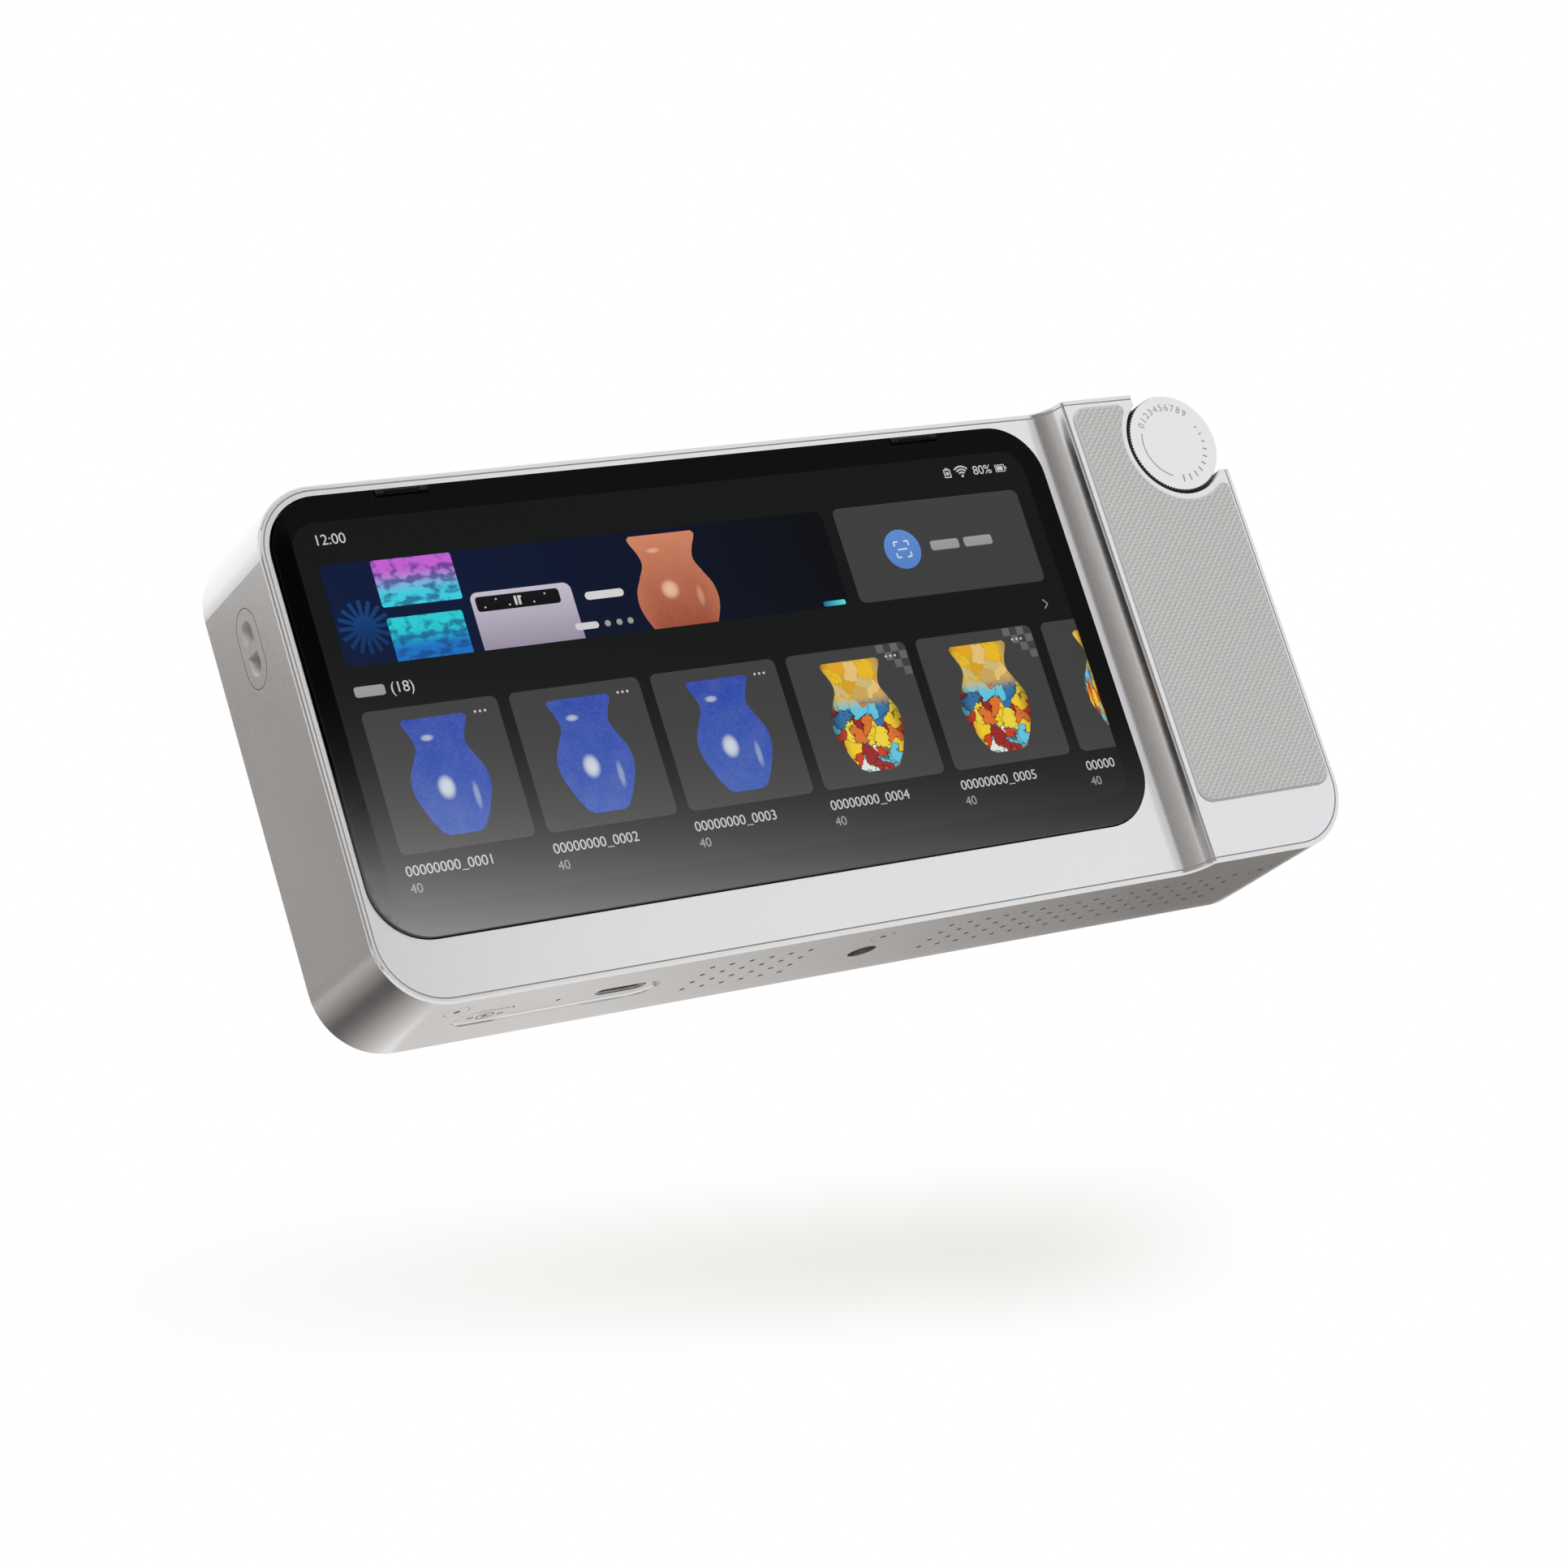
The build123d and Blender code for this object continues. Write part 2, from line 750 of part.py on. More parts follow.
def hinge_lugs():
    """Two fixed knuckles on the top edge of the screen opening."""
    top = glass_top + screen_gap
    lugs = []
    for x in hinge_places:
        low, high = x - lug_length / 2, x + lug_length / 2
        lug = rod_x(knuckle_radius, hinge_y, hinge_z, low, high)
        neck_z = hinge_z - knuckle_radius * lug_neck_share
        lug = lug + bar(low, high, front_y, front_y + plate_thickness, neck_z, top)
        lugs.append(lug - rod_x(pin_radius + pin_clearance, hinge_y, hinge_z, low, high))
    return Part() + lugs


def hinge_pins():
    half = lug_length / 2 + ear_gap + ear_length
    return Part() + [rod_x(pin_radius, hinge_y, hinge_z, x - half, x + half) for x in hinge_places]


# Start button and the port board
def start_button():
    """Obround key with a flange that keeps it inside the wall."""
    key = plate_xy(button_outline(0), button_sink, button_flange_z)
    return key + plate_xy(button_outline(button_flange), button_flange_z, button_top_z)


def start_plunger():
    tip = switch_z + button_travel
    return rod_z(plunger_radius, button_x, groove_line_y, button_top_z, tip)


def start_switch():
    """Switch body with the hole that the plunger enters."""
    half = switch_width / 2
    top = switch_z + switch_height
    base = bar(button_x - half, button_x + half, 2 * groove_line_y - usb_face_y, usb_face_y, switch_z, top)
    hole = rod_z(
        plunger_radius + plunger_clearance, button_x, groove_line_y, switch_z, switch_z + switch_cavity
    )
    return base - hole


def io_board():
    """Small board that carries the port and the start switch."""
    return bar(io_board_left, io_board_right, usb_face_y, io_back_y, io_board_rise, io_board_top)


def usb_socket():
    """Port shell with its contact tongue."""
    mouth = groove_depth + usb_recess
    end = mouth + usb_length
    shell = plate_xy(usb_outline(0), mouth, end)
    shell = shell - plate_xy(usb_outline(-usb_shell), mouth - cut_overrun, end - usb_shell)
    half = usb_tongue_width / 2
    return shell + bar(
        usb_x - half,
        usb_x + half,
        groove_line_y - usb_tongue / 2,
        groove_line_y + usb_tongue / 2,
        end - usb_tongue_length,
        end,
    )


def microphone():
    return rod_z(mic_diameter / 2, mic_x, groove_line_y, wall, wall + mic_height)


def speaker():
    """Sound box over the left vents, with its cone facing them."""
    middle_x = -vent_first_x - vent_pitch * (vent_columns_left - 1) / 2
    middle_y = front_y + vent_first_y + vent_pitch * (vent_rows - 1) / 2
    room = -tripod_boss / 2 - io_board_right
    speaker_length = room * speaker_share
    floor = wall + mesh_thickness
    box = bar(
        middle_x - speaker_length / 2,
        middle_x + speaker_length / 2,
        middle_y - speaker_width / 2,
        middle_y + speaker_width / 2,
        floor,
        floor + speaker_height,
    )
    return box - rod_z(speaker_cone, middle_x, middle_y, floor - cut_overrun, floor + speaker_cone_depth)


# Knob
def brightness_knob():
    """Finely toothed knob with a socket for its shaft."""
    points = []
    for step in range(2 * knob_teeth):
        radius = knob_radius - (step % 2) * knob_tooth_depth
        angle = pi * step / knob_teeth
        points.append((knob_x + radius * cos(angle), knob_z + radius * sin(angle)))
    face = make_face(Polyline(*points, close=True))
    front = grip_y + knob_face_sink
    back = front + knob_thickness
    knob = plate_xz(face, front, back)
    return knob - rod_y(shaft_radius + press_clearance, knob_x, knob_z, back - shaft_socket, back)


def knob_shaft():
    back = grip_y + knob_face_sink + knob_thickness
    return rod_y(shaft_radius, knob_x, knob_z, back - shaft_socket, pocket_back_y + shaft_tail)


def knob_encoder():
    """Rotary sensor behind the notch floor, with its bush through the floor."""
    body = rod_y(encoder_radius, knob_x, knob_z, pocket_back_y, pocket_back_y + encoder_length)
    body = body + rod_y(bush_radius, knob_x, knob_z, notch_floor_y, pocket_back_y)
    bore_end = pocket_back_y + shaft_tail + shaft_clearance
    return body - rod_y(shaft_radius + shaft_clearance, knob_x, knob_z, notch_floor_y, bore_end)


# Inside
def chassis():
    """Flat frame on the back of the well, with the pillars of the main board."""
    inside = plate_xz(body_outline(wall + chassis_gap), chassis_y, chassis_back_y)
    limits = bar(chassis_left, chassis_right, chassis_y, chassis_back_y, chassis_bottom, body_height)
    frame = inside & limits
    for x, z in board_places:
        frame = frame + rod_y(pillar_radius, x, z, chassis_back_y, board_y)
        frame = frame - rod_y(board_screw_shank / 2 + press_clearance, x, z, chassis_y, board_y)
    for x, z in bench_places:
        frame = frame - rod_y(board_screw_shank / 2 + press_clearance, x, z, chassis_y, chassis_back_y)
    return frame


def main_board():
    board = bar(board_left, board_right, board_y, board_back_y, board_bottom, board_top)
    holes = [
        rod_y(board_screw_shank / 2 + screw_clearance, x, z, board_y, board_back_y) for x, z in board_places
    ]
    return board - holes


def board_screws():
    screws = []
    for x, z in board_places:
        head = rod_y(board_screw_head / 2, x, z, board_back_y, board_back_y + board_screw_head_height)
        screws.append(head + rod_y(board_screw_shank / 2, x, z, chassis_y, board_back_y))
    return Part() + screws


def processor():
    half = chip_size / 2
    top_y = board_back_y + chip_thickness
    return bar(chip_x - half, chip_x + half, board_back_y, top_y, chip_z - half, chip_z + half)


def heat_sink():
    """Finned block on the processor."""
    front = board_back_y + chip_thickness
    left = chip_x - sink_width / 2
    low = chip_z - sink_height / 2
    sink = bar(left, left + sink_width, front, front + sink_base, low, low + sink_height)
    pitch = (sink_width - fin_thickness) / (fin_count - 1)
    fins = [
        bar(
            left + pitch * step,
            left + pitch * step + fin_thickness,
            front + sink_base,
            front + sink_depth,
            low,
            low + sink_height,
        )
        for step in range(fin_count)
    ]
    return sink + fins


def fan_frame():
    """Blower frame with a fixed axle and an outlet towards the vents."""
    back = chassis_back_y + fan_depth
    half = fan_size / 2
    frame = bar(fan_x - half, fan_x + half, chassis_back_y, back, fan_z - half, fan_z + half)
    frame = frame - rod_y(fan_bore_radius, fan_x, fan_z, chassis_back_y + fan_wall, back)
    outlet = fan_outlet_width / 2
    frame = frame - bar(
        fan_x - outlet, fan_x + outlet, chassis_back_y + fan_wall, back - fan_wall, fan_z - half, fan_z
    )
    return frame + rod_y(fan_axle_radius, fan_x, fan_z, chassis_back_y + fan_wall, back - fan_wall)


def fan_rotor():
    """Hub and blades that turn on the frame's axle."""
    front = chassis_back_y + fan_wall + fan_blade_gap
    back = chassis_back_y + fan_depth - fan_blade_gap
    reach = fan_bore_radius - fan_blade_gap
    rotor = rod_y(fan_hub_radius, fan_x, fan_z, front, back)
    blade_length = reach - fan_hub_radius / 2
    blade = Pos(fan_hub_radius / 2 + blade_length / 2, 0) * Rectangle(blade_length, fan_blade_thickness)
    for step in range(fan_blades):
        turned = Pos(fan_x, fan_z) * Rot(0, 0, 360 * step / fan_blades) * blade
        rotor = rotor + plate_xz(turned, front, back)
    bore = fan_axle_radius + fan_axle_clearance
    tip = chassis_back_y + fan_depth - fan_wall + fan_axle_clearance
    return rotor - rod_y(bore, fan_x, fan_z, front, tip)


def battery_pack():
    """Pack bonded to the inner face of the grip plateau."""
    front = grip_y + plate_thickness
    left = (crest_x + half_width - battery_width) / 2
    outline = Pos(left + battery_width / 2, battery_bottom + battery_height / 2)
    outline = outline * RectangleRounded(battery_width, battery_height, battery_round)
    return plate_xz(outline, front, front + battery_depth)


# Optics
def optical_bench():
    """Stiff beam behind the window, standing on four feet on the chassis."""
    half = bench_height / 2
    beam = bar(
        -bench_width / 2, bench_width / 2, bench_y, camera_y, window_z - half, window_z + half
    )
    for x, z in bench_places:
        beam = beam + rod_y(bench_foot_radius, x, z, chassis_back_y, bench_y)
    for x, z in bench_places:
        beam = beam - rod_y(board_screw_shank / 2 + screw_clearance, x, z, chassis_back_y, camera_y)
    for x in post_places:
        beam = beam + rod_y(led_post_radius, x, window_z, camera_y, led_board_y)
    return beam


def bench_screws():
    screws = []
    for x, z in bench_places:
        head = rod_y(board_screw_head / 2, x, z, camera_y, camera_y + board_screw_head_height)
        screws.append(head + rod_y(board_screw_shank / 2, x, z, chassis_y, camera_y))
    return Part() + screws


def camera(x):
    """Square camera body with a lens barrel towards the window."""
    half = camera_size / 2
    barrel_y = camera_y + camera_body
    body = bar(x - half, x + half, camera_y, barrel_y, window_z - half, window_z + half)
    body = body + rod_y(barrel_radius, x, window_z, barrel_y, lens_y)
    return body - rod_y(lens_radius, x, window_z, lens_y - lens_thickness, lens_y)


def camera_lenses():
    """Front lens of each camera, seated in its barrel."""
    places = camera_places + [rgb_x]
    radius = lens_radius - press_clearance
    return Part() + [rod_y(radius, x, window_z, lens_y - lens_thickness, lens_y) for x in places]


def projector_mouth(shrink):
    width = projector_mouth_width - 2 * shrink
    height = projector_mouth_height - 2 * shrink
    return Pos(0, window_z) * Rectangle(width, height)


def projector():
    """Pattern projector in the middle of the bench."""
    mouth_y = camera_y + projector_body
    width = projector_width / 2
    height = projector_height / 2
    body = bar(-width, width, camera_y, mouth_y, window_z - height, window_z + height)
    body = body + plate_xz(projector_mouth(0), mouth_y, lens_y)
    return body - plate_xz(projector_mouth(projector_mouth_wall), lens_y - projector_lens_thickness, lens_y)


def projector_lens():
    inside = projector_mouth(projector_mouth_wall + press_clearance)
    return plate_xz(inside, lens_y - projector_lens_thickness, lens_y)


def led_board():
    """Thin board round the lens barrels that carries the flash lamps."""
    outline = window_outline(-window_ledge - led_board_margin)
    board = plate_xz(outline, led_board_y, led_board_y + led_board_thickness)
    for x in camera_places + [rgb_x]:
        board = board - rod_y(barrel_radius + barrel_clearance, x, window_z, led_board_y, lens_y)
    return board - plate_xz(projector_mouth(-barrel_clearance), led_board_y, lens_y)


def flash_leds():
    face_y = led_board_y + led_board_thickness
    return Part() + [rod_y(led_radius, x, z, face_y, face_y + led_height) for x, z in led_places]


def build():
    """Every node of the scanner by its name."""
    block = body_block()
    nodes = {
        "main_housing": main_housing(block),
        "front_plate": front_plate(block),
        "back_cover": back_cover(),
        "optics_window": optics_window(),
        "optics_seal": optics_seal(),
        "grip_pad": grip_pad(),
        "strap_anchor": strap_anchor(),
        "case_screws": case_screws(),
        "vent_mesh": vent_mesh(),
        "screen_well": screen_well(),
        "well_magnets": well_magnets(),
        "hinge_lugs": hinge_lugs(),
        "screen_case": screen_case(),
        "display_panel": display_panel(),
        "cover_glass": cover_glass(),
        "screen_magnets": screen_magnets(),
        "hinge_pins": hinge_pins(),
        "start_button": start_button(),
        "start_plunger": start_plunger(),
        "start_switch": start_switch(),
        "io_board": io_board(),
        "usb_socket": usb_socket(),
        "microphone": microphone(),
        "speaker": speaker(),
        "brightness_knob": brightness_knob(),
        "knob_shaft": knob_shaft(),
        "knob_encoder": knob_encoder(),
        "chassis": chassis(),
        "main_board": main_board(),
        "board_screws": board_screws(),
        "processor": processor(),
        "heat_sink": heat_sink(),
        "fan_frame": fan_frame(),
        "fan_rotor": fan_rotor(),
        "battery_pack": battery_pack(),
        "optical_bench": optical_bench(),
        "bench_screws": bench_screws(),
        "rgb_camera": camera(rgb_x),
        "camera_lenses": camera_lenses(),
        "projector": projector(),
        "projector_lens": projector_lens(),
        "led_board": led_board(),
        "flash_leds": flash_leds(),
    }
    for number, x in enumerate(camera_places, start=1):
        nodes[f"depth_camera_{number}"] = camera(x)
    return nodes


def main():
    os.makedirs("parts", exist_ok=True)
    for name, part in build().items():
        export_step(part, f"parts/{name}.step")


main()
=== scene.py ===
"""Looks of the handheld three-d scanner: satin metal, black glass, textured grip and the lit screen."""
import json
from math import cos, pi, radians, sin, sqrt

import bmesh
import bpy
from mathutils import Matrix, Vector

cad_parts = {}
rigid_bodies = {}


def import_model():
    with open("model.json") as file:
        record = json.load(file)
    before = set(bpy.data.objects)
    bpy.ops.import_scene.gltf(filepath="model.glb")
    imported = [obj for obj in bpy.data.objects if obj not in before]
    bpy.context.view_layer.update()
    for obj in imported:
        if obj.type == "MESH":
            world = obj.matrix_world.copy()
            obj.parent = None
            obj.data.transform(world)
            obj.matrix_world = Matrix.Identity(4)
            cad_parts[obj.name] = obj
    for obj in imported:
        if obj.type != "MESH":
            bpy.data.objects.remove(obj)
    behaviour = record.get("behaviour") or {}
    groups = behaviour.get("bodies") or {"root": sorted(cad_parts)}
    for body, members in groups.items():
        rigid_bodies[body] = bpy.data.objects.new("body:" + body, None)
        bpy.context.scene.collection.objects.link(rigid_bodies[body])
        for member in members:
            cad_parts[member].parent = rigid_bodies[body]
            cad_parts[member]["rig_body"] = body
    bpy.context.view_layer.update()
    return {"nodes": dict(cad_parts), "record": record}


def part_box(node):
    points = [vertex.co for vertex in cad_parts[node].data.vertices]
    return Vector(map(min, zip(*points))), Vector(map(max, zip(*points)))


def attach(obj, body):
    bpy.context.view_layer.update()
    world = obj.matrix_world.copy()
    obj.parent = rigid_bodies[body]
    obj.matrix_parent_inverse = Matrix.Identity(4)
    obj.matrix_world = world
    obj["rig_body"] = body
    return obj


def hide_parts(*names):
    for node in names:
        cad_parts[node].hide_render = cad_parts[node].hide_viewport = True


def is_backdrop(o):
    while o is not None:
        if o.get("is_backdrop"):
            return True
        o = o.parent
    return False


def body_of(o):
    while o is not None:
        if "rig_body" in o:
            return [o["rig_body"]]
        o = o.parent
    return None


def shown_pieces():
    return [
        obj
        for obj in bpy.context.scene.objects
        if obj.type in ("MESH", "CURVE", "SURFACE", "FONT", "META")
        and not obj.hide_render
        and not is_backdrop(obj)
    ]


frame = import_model()
nodes = frame["nodes"]
mm = 0.001

# Viewpoint of the photograph
camera_place = Vector((-0.3661, -0.56432, -0.1331))
camera_aim = Vector((0.52365, 0.81807, 0.23779))
camera_up = Vector((0.12758, -0.35127, 0.92754))
camera_angle = radians(21.747)
camera_right = camera_aim.cross(camera_up)

# Places read from the frame
body_low, body_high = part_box("main_housing")
glass_low, glass_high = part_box("cover_glass")
pad_low, pad_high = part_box("grip_pad")
knob_low, knob_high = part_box("brightness_knob")
button_low, button_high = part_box("start_button")
lens_low, lens_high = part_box("projector_lens")
anchor_low, anchor_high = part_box("strap_anchor")
plateau_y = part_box("front_plate")[0].y
knob_x = (knob_low.x + knob_high.x) / 2
knob_z = (knob_low.z + knob_high.z) / 2

# Forms of the solids that their boxes don't tell
body_radius = 11.7 * mm
glass_radius = 9.55 * mm
ramp_start = 58.15 * mm
ramp_radius = 4.7 * mm
notch_radius = 10.0 * mm
notch_half = 6.1 * mm
notch_floor_gap = 0.6 * mm
anchor_half_length = 6.75 * mm
anchor_half_width = 4.0 * mm

# Softer blasting at the ramp's foot, and the height up to which the glass's ground edge is pale with
# painted haze light
ramp_foot = 58.6 * mm
ramp_foot_reach = 1.2 * mm
edge_haze_height = 32.0 * mm

# Depth of the blasted grain, reach of the lighter edges (handling wear and painted sheen), and slack round
# the painted notch
grain_height = 0.02 * mm
wear_and_sheen_reach = 0.4 * mm
notch_slack = 0.05 * mm

# Thin printed and lit layers; a digit's height is a share of its font's size
layer_step = 0.02 * mm
print_thickness = 0.02 * mm
arc_steps = 10
digit_share = 0.72

# Lit screen, in plain millimetres: its place on the cover glass, its size and its cards
lit_left = 3.45
lit_low = 4.65
lit_width = 142.4
lit_height = 65.6
lit_radius = 4.5
card_left = 3.4
card_radius = 1.2
top_row_low = 40.75
top_row_height = 17.5

# Grip pad: a lipped slab with small four-sided points
pad_lip = 0.4 * mm
pad_ground = 0.42 * mm
point_half = 0.67 * mm
points_inset = 0.8 * pad_lip

# Hairline seams: the place, half width and depth of the grey strips of painted shade in them, and the line
# round the strap anchor
seam_inset = 0.94 * mm
seam_half = 0.115 * mm
seam_top = 0.05 * mm
seam_deep = 0.3 * mm
notch_clear = 0.1 * mm
anchor_line = 0.09 * mm

# Marks on the knob, with their angles in degrees
number_start, number_pitch = 146, 10.5
tick_start, tick_pitch, tick_least = 24, 13.0, 0.35
dial_start, dial_end = 159, 248
mark_radius = 6.9 * mm
mark_tall = 1.35 * mm
mark_count = 10
tick_width = 0.28 * mm
dial_radius = 6.7 * mm
dial_width = 0.2 * mm

# Marks on the start key: a triangle, a ring of two arcs and four bars
triangle_side = 0.75 * mm
triangle_back = 0.45 * mm
triangle_wing = 0.675 * mm
ring_starts, ring_sweep = (4, 184), 172
ring_radius = 1.45 * mm
ring_width = 0.2 * mm
bar_half = 0.5 * mm
bar_width = 0.25 * mm
bar_places = (-3.0 * mm, -2.4 * mm, 2.4 * mm, 3.0 * mm)

# Bars of the projector
projector_wide = 2.3 * mm
projector_tall = 6.4 * mm
projector_gap = 0.9 * mm
projector_radius = 0.3 * mm

# Floor: gap under the part, and where it starts and ends to fade into the white room
floor_gap = 0.3 * mm
floor_solid = 0.2
floor_end = 0.75

# Film with the soft shade: its distance from the camera, and its place and half sizes as shares of that
shade_far = 0.56
shade_left = 0.0274
shade_down = 0.1201
shade_half_width = 0.1531
shade_half_height = 0.0378

# Lamps: what they aim at, and each one's place, size and power
lamp_aim = (0, 0, 0.04)
key_spot, key_size, key_power = (-0.7, -0.9, 1.1), 0.9, 12.0
top_spot, top_size, top_power = (0.3, 0.7, 1.2), 0.8, 8.0

# Window light on the screen: its power, place, aim and sides
haze_power = 94.0
haze_spot = (0.6, -1.0, 0.32)
haze_aim = (0.6, 0.0, 0.32)
haze_width = 0.6
haze_height = 0.2

black = (0.0, 0.0, 0.0, 1.0)
white = (1.0, 1.0, 1.0, 1.0)


# Colours
def grey(value):
    """A neutral linear colour."""
    return (value, value, value, 1.0)


def linear(red, green, blue):
    """Display values from 0 to 255 as the linear colour a shader takes."""
    shares = [value / 255 for value in (red, green, blue)]
    toe, slope, offset, power = 0.04045, 12.92, 0.055, 2.4
    values = [s / slope if s <= toe else ((s + offset) / (1 + offset)) ** power for s in shares]
    return (*values, 1.0)


def scaled(colour, share):
    """A colour made darker or lighter."""
    return (*(min(1.0, value * share) for value in colour[:3]), 1.0)


# Shader helpers
def give(made, inputs):
    """Sets a node's inputs. Each is a plain value or another node's output."""
    for name, value in inputs.items():
        if isinstance(value, bpy.types.NodeSocket):
            made.id_data.links.new(value, made.inputs[name])
        else:
            made.inputs[name].default_value = value


def place(tree, kind, inputs=None, **settings):
    """Adds a shader node with its settings and inputs."""
    made = tree.nodes.new("ShaderNode" + kind)
    for name, value in settings.items():
        setattr(made, name, value)
    give(made, inputs or {})
    return made


def calc(tree, operation, first, second=0.0, clamp=False):
    """One step of arithmetic."""
    return place(tree, "Math", {0: first, 1: second}, operation=operation, use_clamp=clamp).outputs[0]


def weighted(tree, first, first_share, second, second_share):
    """Sum of two values, each times its share."""
    one = calc(tree, "MULTIPLY", first, first_share)
    other = calc(tree, "MULTIPLY", second, second_share)
    return calc(tree, "ADD", one, other)


def away(tree, value, middle):
    """How far a value is from a middle."""
    return calc(tree, "ABSOLUTE", calc(tree, "SUBTRACT", value, middle))


def mix(tree, share, first, second):
    """Colour between two colours."""
    return place(tree, "Mix", {0: share, 6: first, 7: second}, data_type="RGBA").outputs[2]


def spread(tree, value, low, high, to_low, to_high):
    """Value carried from one range to another."""
    inputs = {"Value": value, "From Min": low, "From Max": high, "To Min": to_low, "To Max": to_high}
    return place(tree, "MapRange", inputs, interpolation_type="SMOOTHSTEP").outputs[0]


def axes(tree, kind):
    """The three axes of a texture coordinate."""
    return place(tree, "SeparateXYZ", {0: place(tree, "TexCoord").outputs[kind]}).outputs


def side_mask(tree, axis, limit, kind):
    """Mask of the surfaces that don't face along an axis."""
    facing = place(tree, "SeparateXYZ", {0: place(tree, "NewGeometry").outputs[kind]}).outputs[axis]
    return calc(tree, "LESS_THAN", calc(tree, "ABSOLUTE", facing), limit)


def effect(name, inputs, outputs):
    """An empty shader group with named sockets."""
    tree = bpy.data.node_groups.new(name, "ShaderNodeTree")
    for socket, value in inputs.items():
        made = tree.interface.new_socket(socket, in_out="INPUT", socket_type="NodeSocketFloat")
        made.default_value = value
    for socket in outputs:
        tree.interface.new_socket(socket, in_out="OUTPUT", socket_type="NodeSocketFloat")
    start = tree.nodes.new("NodeGroupInput")
    end = tree.nodes.new("NodeGroupOutput")
    return tree, start.outputs, end.inputs


def use(tree, group, **values):
    """Places a group in a material with its own values."""
    made = tree.nodes.new("ShaderNodeGroup")
    made.node_tree = group
    for name, value in values.items():
        made.inputs[name.replace("_", " ")].default_value = value
    return made.outputs


def blank(name):
    """A new material with a Principled shader at its output."""
    material = bpy.data.materials.new(name)
    material.use_nodes = True
    tree = material.node_tree
    return material, tree, tree.nodes["Principled BSDF"]


def cover(tree, mask, colour):
    """Lays a colour over a finish's own colour where a mask says so."""
    base = tree.nodes["Principled BSDF"].inputs["Base Color"]
    tree.links.new(mix(tree, mask, base.links[0].from_socket, colour), base)


def roughen(tree, more):
    """Adds to a finish's own roughness."""
    rough = tree.nodes["Principled BSDF"].inputs["Roughness"]
    tree.links.new(calc(tree, "ADD", rough.links[0].from_socket, more), rough)


# Effects that several finishes share
def grain_effect():
    """Fine blasted or moulded grain, with a slow cloud over it."""
    scales = {"Grain Scale": 3000.0, "Cloud Scale": 30.0}
    tree, given, result = effect("surface_grain", scales, ["Grain", "Cloud"])
    spot = place(tree, "TexCoord").outputs["Object"]
    grain = place(tree, "TexNoise", {"Vector": spot, "Scale": given["Grain Scale"], "Detail": 2.0})
    cloud = place(tree, "TexNoise", {"Vector": spot, "Scale": given["Cloud Scale"], "Detail": 3.0})
    tree.links.new(grain.outputs["Fac"], result["Grain"])
    tree.links.new(cloud.outputs["Fac"], result["Cloud"])
    return tree


def edge_effect():
    """Mask of the outer edges, where handling polishes a surface and a painted sheen lightens it."""
    tree, given, result = effect("edge_wear_and_sheen", {"Reach": wear_and_sheen_reach, "Gain": 4.0}, ["Edge"])
    soft = place(tree, "Bevel", {"Radius": given["Reach"]}, samples=4).outputs[0]
    flat = place(tree, "NewGeometry").outputs["Normal"]
    agree = place(tree, "VectorMath", {0: soft, 1: flat}, operation="DOT_PRODUCT").outputs["Value"]
    miss = calc(tree, "SUBTRACT", 1.0, agree, clamp=True)
    tree.links.new(calc(tree, "MULTIPLY", miss, given["Gain"], clamp=True), result["Edge"])
    return tree


def pixel_effect():
    """Slight unevenness of a lit display: fine rows and a slow drift."""
    tree, given, result = effect("pixel_glow", {"Row Scale": 6000.0, "Drift Scale": 25.0}, ["Glow"])
    spot = place(tree, "TexCoord").outputs["Object"]
    rows = place(tree, "TexWave", {"Vector": spot, "Scale": given["Row Scale"]}, bands_direction="Z")
    drift = place(tree, "TexNoise", {"Vector": spot, "Scale": given["Drift Scale"], "Detail": 1.0})
    tree.links.new(weighted(tree, rows.outputs["Fac"], 0.3, drift.outputs["Fac"], 0.7), result["Glow"])
    return tree


def notch_effect():
    """Mask of the walls and floor of the corner notch that the knob stands in."""
    tree, given, result = effect("corner_notch", {"Slack": notch_slack}, ["Notch"])
    spot = axes(tree, "Object")
    across = calc(tree, "SUBTRACT", spot["X"], knob_x)
    up = calc(tree, "SUBTRACT", spot["Z"], knob_z)
    far = calc(tree, "SQRT", weighted(tree, across, across, up, up))
    round_part = calc(tree, "LESS_THAN", calc(tree, "SUBTRACT", far, given["Slack"]), notch_radius)
    lesser = calc(tree, "ADD", calc(tree, "MINIMUM", across, up), given["Slack"])
    square_part = calc(tree, "GREATER_THAN", lesser, -notch_half)
    depth = calc(tree, "SUBTRACT", spot["Y"], given["Slack"])
    front = calc(tree, "LESS_THAN", depth, knob_high.y + notch_floor_gap)
    inside = calc(tree, "MULTIPLY", calc(tree, "MAXIMUM", round_part, square_part), front)
    tree.links.new(inside, result["Notch"])
    return tree


surface_grain = grain_effect()
edge_wear_and_sheen = edge_effect()
pixel_glow = pixel_effect()
corner_notch = notch_effect()


# Finishes of the solid parts
def grained(name, colour, dark_share, roughness, rough_spread, bump, grain_scale, wear_and_sheen):
    """A finish with blasted grain, slow tone changes and brighter edges from handling wear and a painted
    sheen.
    Returns its material, node tree and shader."""
    material, tree, shader = blank(name)
    grain = use(tree, surface_grain, Grain_Scale=grain_scale)
    edge = use(tree, edge_wear_and_sheen)
    tone = weighted(tree, grain["Grain"], 0.6, grain["Cloud"], 0.4)
    body = mix(tree, tone, scaled(colour, dark_share), colour)
    raised = place(tree, "Bump", {"Height": grain["Grain"], "Strength": bump, "Distance": grain_height})
    give(shader, {
        # Edges lighter for handling wear and as a painted sheen
        "Base Color": mix(tree, edge["Edge"], body, scaled(colour, 1 + wear_and_sheen)),
        "Roughness": spread(tree, tone, 0.3, 0.7, roughness - rough_spread, roughness + rough_spread),
        "Normal": raised.outputs["Normal"],
    })
    return material, tree, shader


